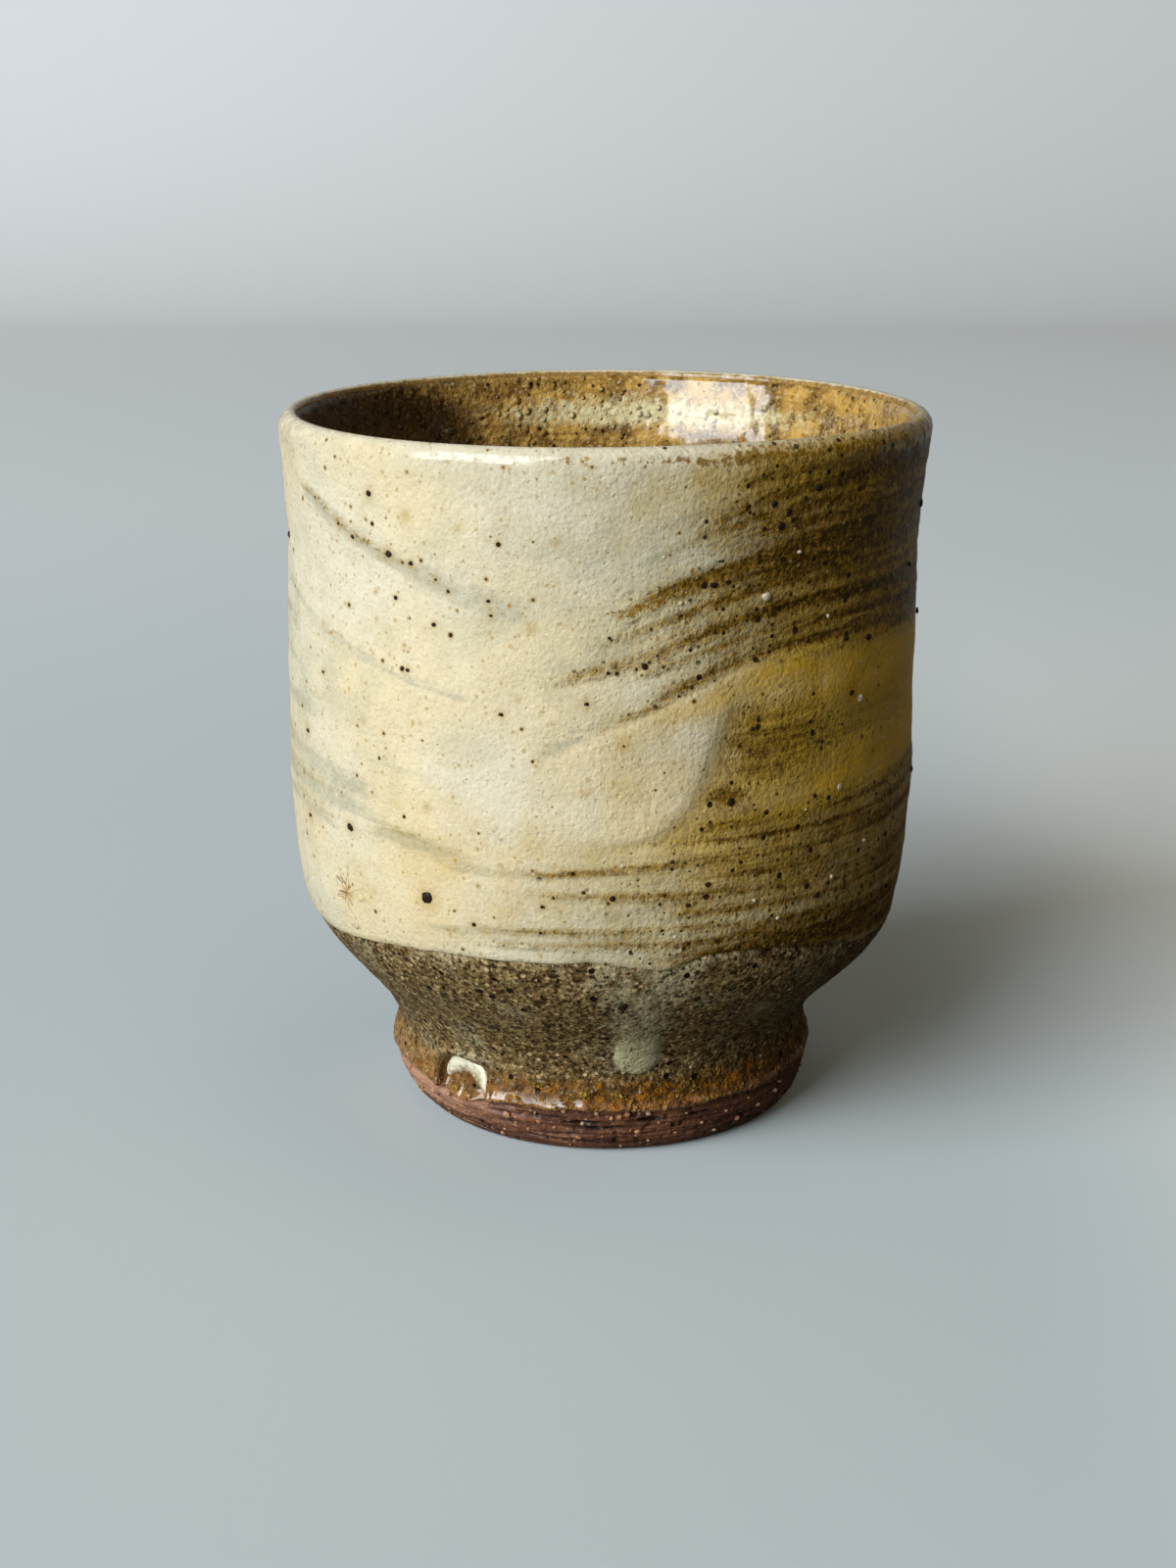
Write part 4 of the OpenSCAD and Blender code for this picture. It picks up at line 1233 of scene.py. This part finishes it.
poolFinish = dict(milk=(0.86, 0.83, 0.64), shade=(0.66, 0.6, 0.4), clot=(0.9, 0.88, 0.72),
                  thin=(0.2, 0.105, 0.02), iron=(0.025, 0.015, 0.008))


def poolMaterial():
    # milky and clotted where it is thick, brown where it is thin
    material, where = newMaterial("palePool", Coat_Weight=1.0, Coat_Roughness=0.07, Specular_IOR_Level=0.25)
    grit = noiseAt(where, 0.42, 2.0, 0.65)
    thick = readPaints(where, "along")[0]
    lump, swelling = specksAt(where, cell=1.2, size=0.3, halo=1.6, share=0.5)
    pit, halo = specksAt(where, cell=1.3, size=0.22, halo=2.0, share=0.45)
    colour = layered(
        poolFinish, "milk",
        ("shade", step(noiseAt(where, 1.9, 3.0, 0.6), 0.4, 0.6)),
        ("clot", step(grit, 0.5, 0.7) * 0.4),
        ("thin", 1 - step(thick + (grit - 0.5) * 0.9, 0.15, 0.75)),
        ("clot", lump * 0.8),
        ("shade", halo * 0.4),
        ("iron", pit))
    relief = skinAt(where, grain=0.6, pinholes=0.4) + swelling * 0.5
    return wireUp(material, Base_Color=colour, Roughness=grit * 0.2 + 0.2, Normal=bumpAt(relief, 0.2))


def grainMaterial(name, base, shade, rough, drift=0.25):
    # drift is how far apart, in millimetres, the two colours lie
    material, where = newMaterial(name, Coat_Weight=0.08, Coat_Roughness=0.2, Specular_IOR_Level=0.15)
    grit = noiseAt(where, 0.25, 3.0, 0.6)
    colour = over(base, shade, step(noiseAt(where, drift, 3.0, 0.6), 0.4, 0.6))
    colour = over(colour, shade, step(grit, 0.5, 0.7) * 0.5)
    return wireUp(material, Base_Color=colour, Roughness=grit * 0.2 + rough, Normal=bumpAt(grit, 0.05))


def dress(piece, material, slotName, *nodes):
    piece.data.materials.clear()
    piece.data.materials.append(material)
    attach(piece, "root")
    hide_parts(*nodes)


print("turning the wall")
dress(makeBrushedSlip(), slipMaterial(), "pale_slip", "slip_coat")
dress(makeAshGlaze(), ashGlazeMaterial("ashGlazeOnClay"), "outer_ash_glaze", "outer_glaze")
print("turning the inside")
dress(makeLiner(), linerMaterial(), "liner_ash_glaze", "liner_glaze", "inner_slip_band")
print("turning the foot")
dress(makeFootRing(), footMaterial(), "foot_clay", "foot_ring")
dress(makeFootGlaze(), ashGlazeMaterial("amberGlaze", 0.8, coatIndex=1.9), "amber_glaze", "foot_glaze_band")
dress(makeClayBowl(), footMaterial(), "stoneware", "clay_bowl")
print("runs and pools")
dress(makeGlazeRun(), ashGlazeMaterial("paleRun", coat=0.7, milky=True), "run_glaze", "glaze_run")
dress(makeMarkPool(), poolMaterial(), "pooled_glaze", "mark_glaze_pool")
print("grains")
backIron = [(100 + 160 * scatter(k), 34 + 48 * (k + 0.5) / ironGrains["atBack"], 0.7 + 0.3 * (k % 3))
            for k in range(ironGrains["atBack"])]
dress(makeGrains("iron_grains", ironGrains["places"] + backIron, outsideRadius, ironGrains["rise"], 60),
      grainMaterial("meltedIron", (0.016, 0.01, 0.006), (0.03, 0.018, 0.009), 0.4),
      "iron_grain", "iron_spots")
dress(makeGrains("feldspar", feldsparGrains["places"], outsideRadius, feldsparGrains["rise"], 70),
      grainMaterial("meltedFeldspar", (0.74, 0.69, 0.52), (0.5, 0.42, 0.26), 0.3),
      "feldspar_grain", "feldspar_grains")
smallest, biggest = grogGrains["size"]
low, high = grogGrains["low"], grogGrains["high"]
grog = [(360 * scatter(k) - 180, low + (high - low) * scatter(k, 0.7548),
         smallest + (biggest - smallest) * scatter(k, 0.57) ** 2) for k in range(grogGrains["count"])]
dress(makeGrains("grog_grains", grogGrains["places"] + grog, footRadius, grogGrains["rise"], 80),
      grainMaterial("grog", (0.62, 0.42, 0.27), (0.46, 0.2, 0.08), 0.45, 2.4),
      "grog_grain", "foot_grog")


# Studio

studio = dict(floorColour=(0.66, 0.745, 0.785), farColour=(0.9, 0.95, 1.0), skyColour=(0.5, 0.55, 0.57),
              bounceColour=(0.25, 0.255, 0.215), shadeBounceColour=(0.06, 0.06, 0.05), glowColour=(1.0, 0.94, 0.8),
              fillColour=(1.0, 0.86, 0.6), fillPower=0.03, wallDistance=1.6, size=7.0, bendRadius=0.5,
              glow=0.1, glowRight=0.14, floorGlow=0.13, edgeGlow=0.5)
lamps = [dict(name="key", angle=-47, height=27, distance=1.9, size=(1.5, 1.55), power=49.0,
              colour=(0.95, 0.98, 1.0)),
         dict(name="top", angle=95, height=58, distance=1.7, size=(1.8, 1.8), power=3.5,
              colour=studio["fillColour"])]


def makePaper():
    # a sheet of paper that bends up behind the cup
    middle = (0, studio["wallDistance"] - studio["size"] / 2, 0)
    sweep = addMesh(bpy.ops.mesh.primitive_plane_add, "floor", size=studio["size"], location=middle)
    bpy.ops.object.transform_apply(location=True)
    bpy.ops.object.mode_set(mode="EDIT")
    bpy.ops.mesh.select_all(action="DESELECT")
    bpy.ops.mesh.select_mode(type="EDGE")
    bpy.ops.object.mode_set(mode="OBJECT")
    for edge in sweep.data.edges:
        ends = [sweep.data.vertices[i].co.y for i in edge.vertices]
        edge.select = min(ends) > studio["wallDistance"] - 0.01
    bpy.ops.object.mode_set(mode="EDIT")
    bpy.ops.mesh.extrude_region_move(TRANSFORM_OT_translate={"value": (0, 0, studio["size"] / 2)})
    bpy.ops.mesh.select_all(action="SELECT")
    bpy.ops.object.mode_set(mode="OBJECT")
    bend = sweep.modifiers.new("sweep", "BEVEL")
    bend.width, bend.segments = studio["bendRadius"], 24
    bend.limit_method, bend.angle_limit = "ANGLE", radians(40)
    bpy.ops.object.modifier_apply(modifier="sweep")
    bpy.ops.object.shade_smooth()
    sweep.data.materials.append(paperMaterial())


def paperMaterial():
    material, where = newMaterial("paper", Roughness=0.75, Specular_IOR_Level=0.3)
    x, y, z = split(where)
    seen, mirrored = useNode(where.tree, "LightPath", {}, "Is Camera Ray", "Is Glossy Ray")
    # what the glaze mirrors, and what light bounces off, is a darker paper near by and the pale paper behind
    far = step(y + z, 100, 1600)
    paper = over(studio["floorColour"], studio["farColour"], far)
    shown = largest(seen, mirrored * step(y, 60, 240) * 0.55)
    # for bounced light the paper is darker still near the cup's right: painted shade on the cup's lower
    # right
    bounce = over(studio["bounceColour"], studio["shadeBounceColour"], step(x, -30, 50) * step(x, 240, 100))
    # the camera sees it glow a little far behind at the left
    glow = step(x, 500, -500) * far * studio["glow"] + step(y + z, -80, 500) * studio["glowRight"]
    # and on the floor at the right a warm glow lifts the far part of the cup's shadow: painted light
    away = step(x, 40, 100) * step(x, 500, 200) * step(y + z, 420, 50)
    # far off to the sides and in front it is as pale as the air
    edge = step(largest(abs(x), y * -1.0), 900, 2200)
    glow = glow + away * studio["floorGlow"] + edge * studio["edgeGlow"]
    return wireUp(material, Base_Color=over(bounce, paper, shown), Emission_Strength=seen * glow,
                  Emission_Color=over(studio["farColour"], studio["glowColour"], away))


def addLamp(name, angle, height, distance, size, power, colour):
    a, h = radians(angle), radians(height)
    target = Vector((0, 0, cupHeight * mm / 2))
    place = target + Vector((sin(a) * cos(h), -cos(a) * cos(h), sin(h))) * distance
    bpy.ops.object.light_add(type="AREA", location=place)
    lamp = bpy.context.object
    lamp.name = name
    lamp.rotation_euler = (target - place).to_track_quat("-Z", "Y").to_euler()
    lamp.data.shape, lamp.data.size, lamp.data.size_y = "RECTANGLE", *size
    lamp.data.energy, lamp.data.color = power, colour


def fillWorld():
    # a weak warm fill, which the camera sees as pale air
    world = bpy.context.scene.world or bpy.data.worlds.new("world")
    bpy.context.scene.world = world
    world.use_nodes = True
    air = world.node_tree
    seen = useNode(air, "LightPath", {}, "Is Camera Ray")
    fill = dict(Color=(*studio["fillColour"], 1), Strength=studio["fillPower"])
    sky = dict(Color=(*studio["skyColour"], 1), Strength=1.0)
    fill, sky = (useNode(air, "Background", inputs, 0) for inputs in (fill, sky))
    both = useNode(air, "MixShader", {0: seen, 1: fill, 2: sky}, 0)
    air.links.new(both.socket, air.nodes["World Output"].inputs["Surface"])


print("studio")
makePaper()
for lamp in lamps:
    addLamp(**lamp)
fillWorld()
bpy.context.scene.view_settings.view_transform = "Standard"

view = dict(place=(-1.613, -279.2, 122.376), down=16.44, lens=51.75, sensor=36)
bpy.ops.object.camera_add(location=Vector(view["place"]) * mm, rotation=(radians(90 - view["down"]), 0, 0))
camera = bpy.context.object
camera.data.sensor_fit, camera.data.sensor_height = "VERTICAL", view["sensor"]
camera.data.lens, camera.data.clip_start = view["lens"], 0.01
bpy.context.scene.camera = camera
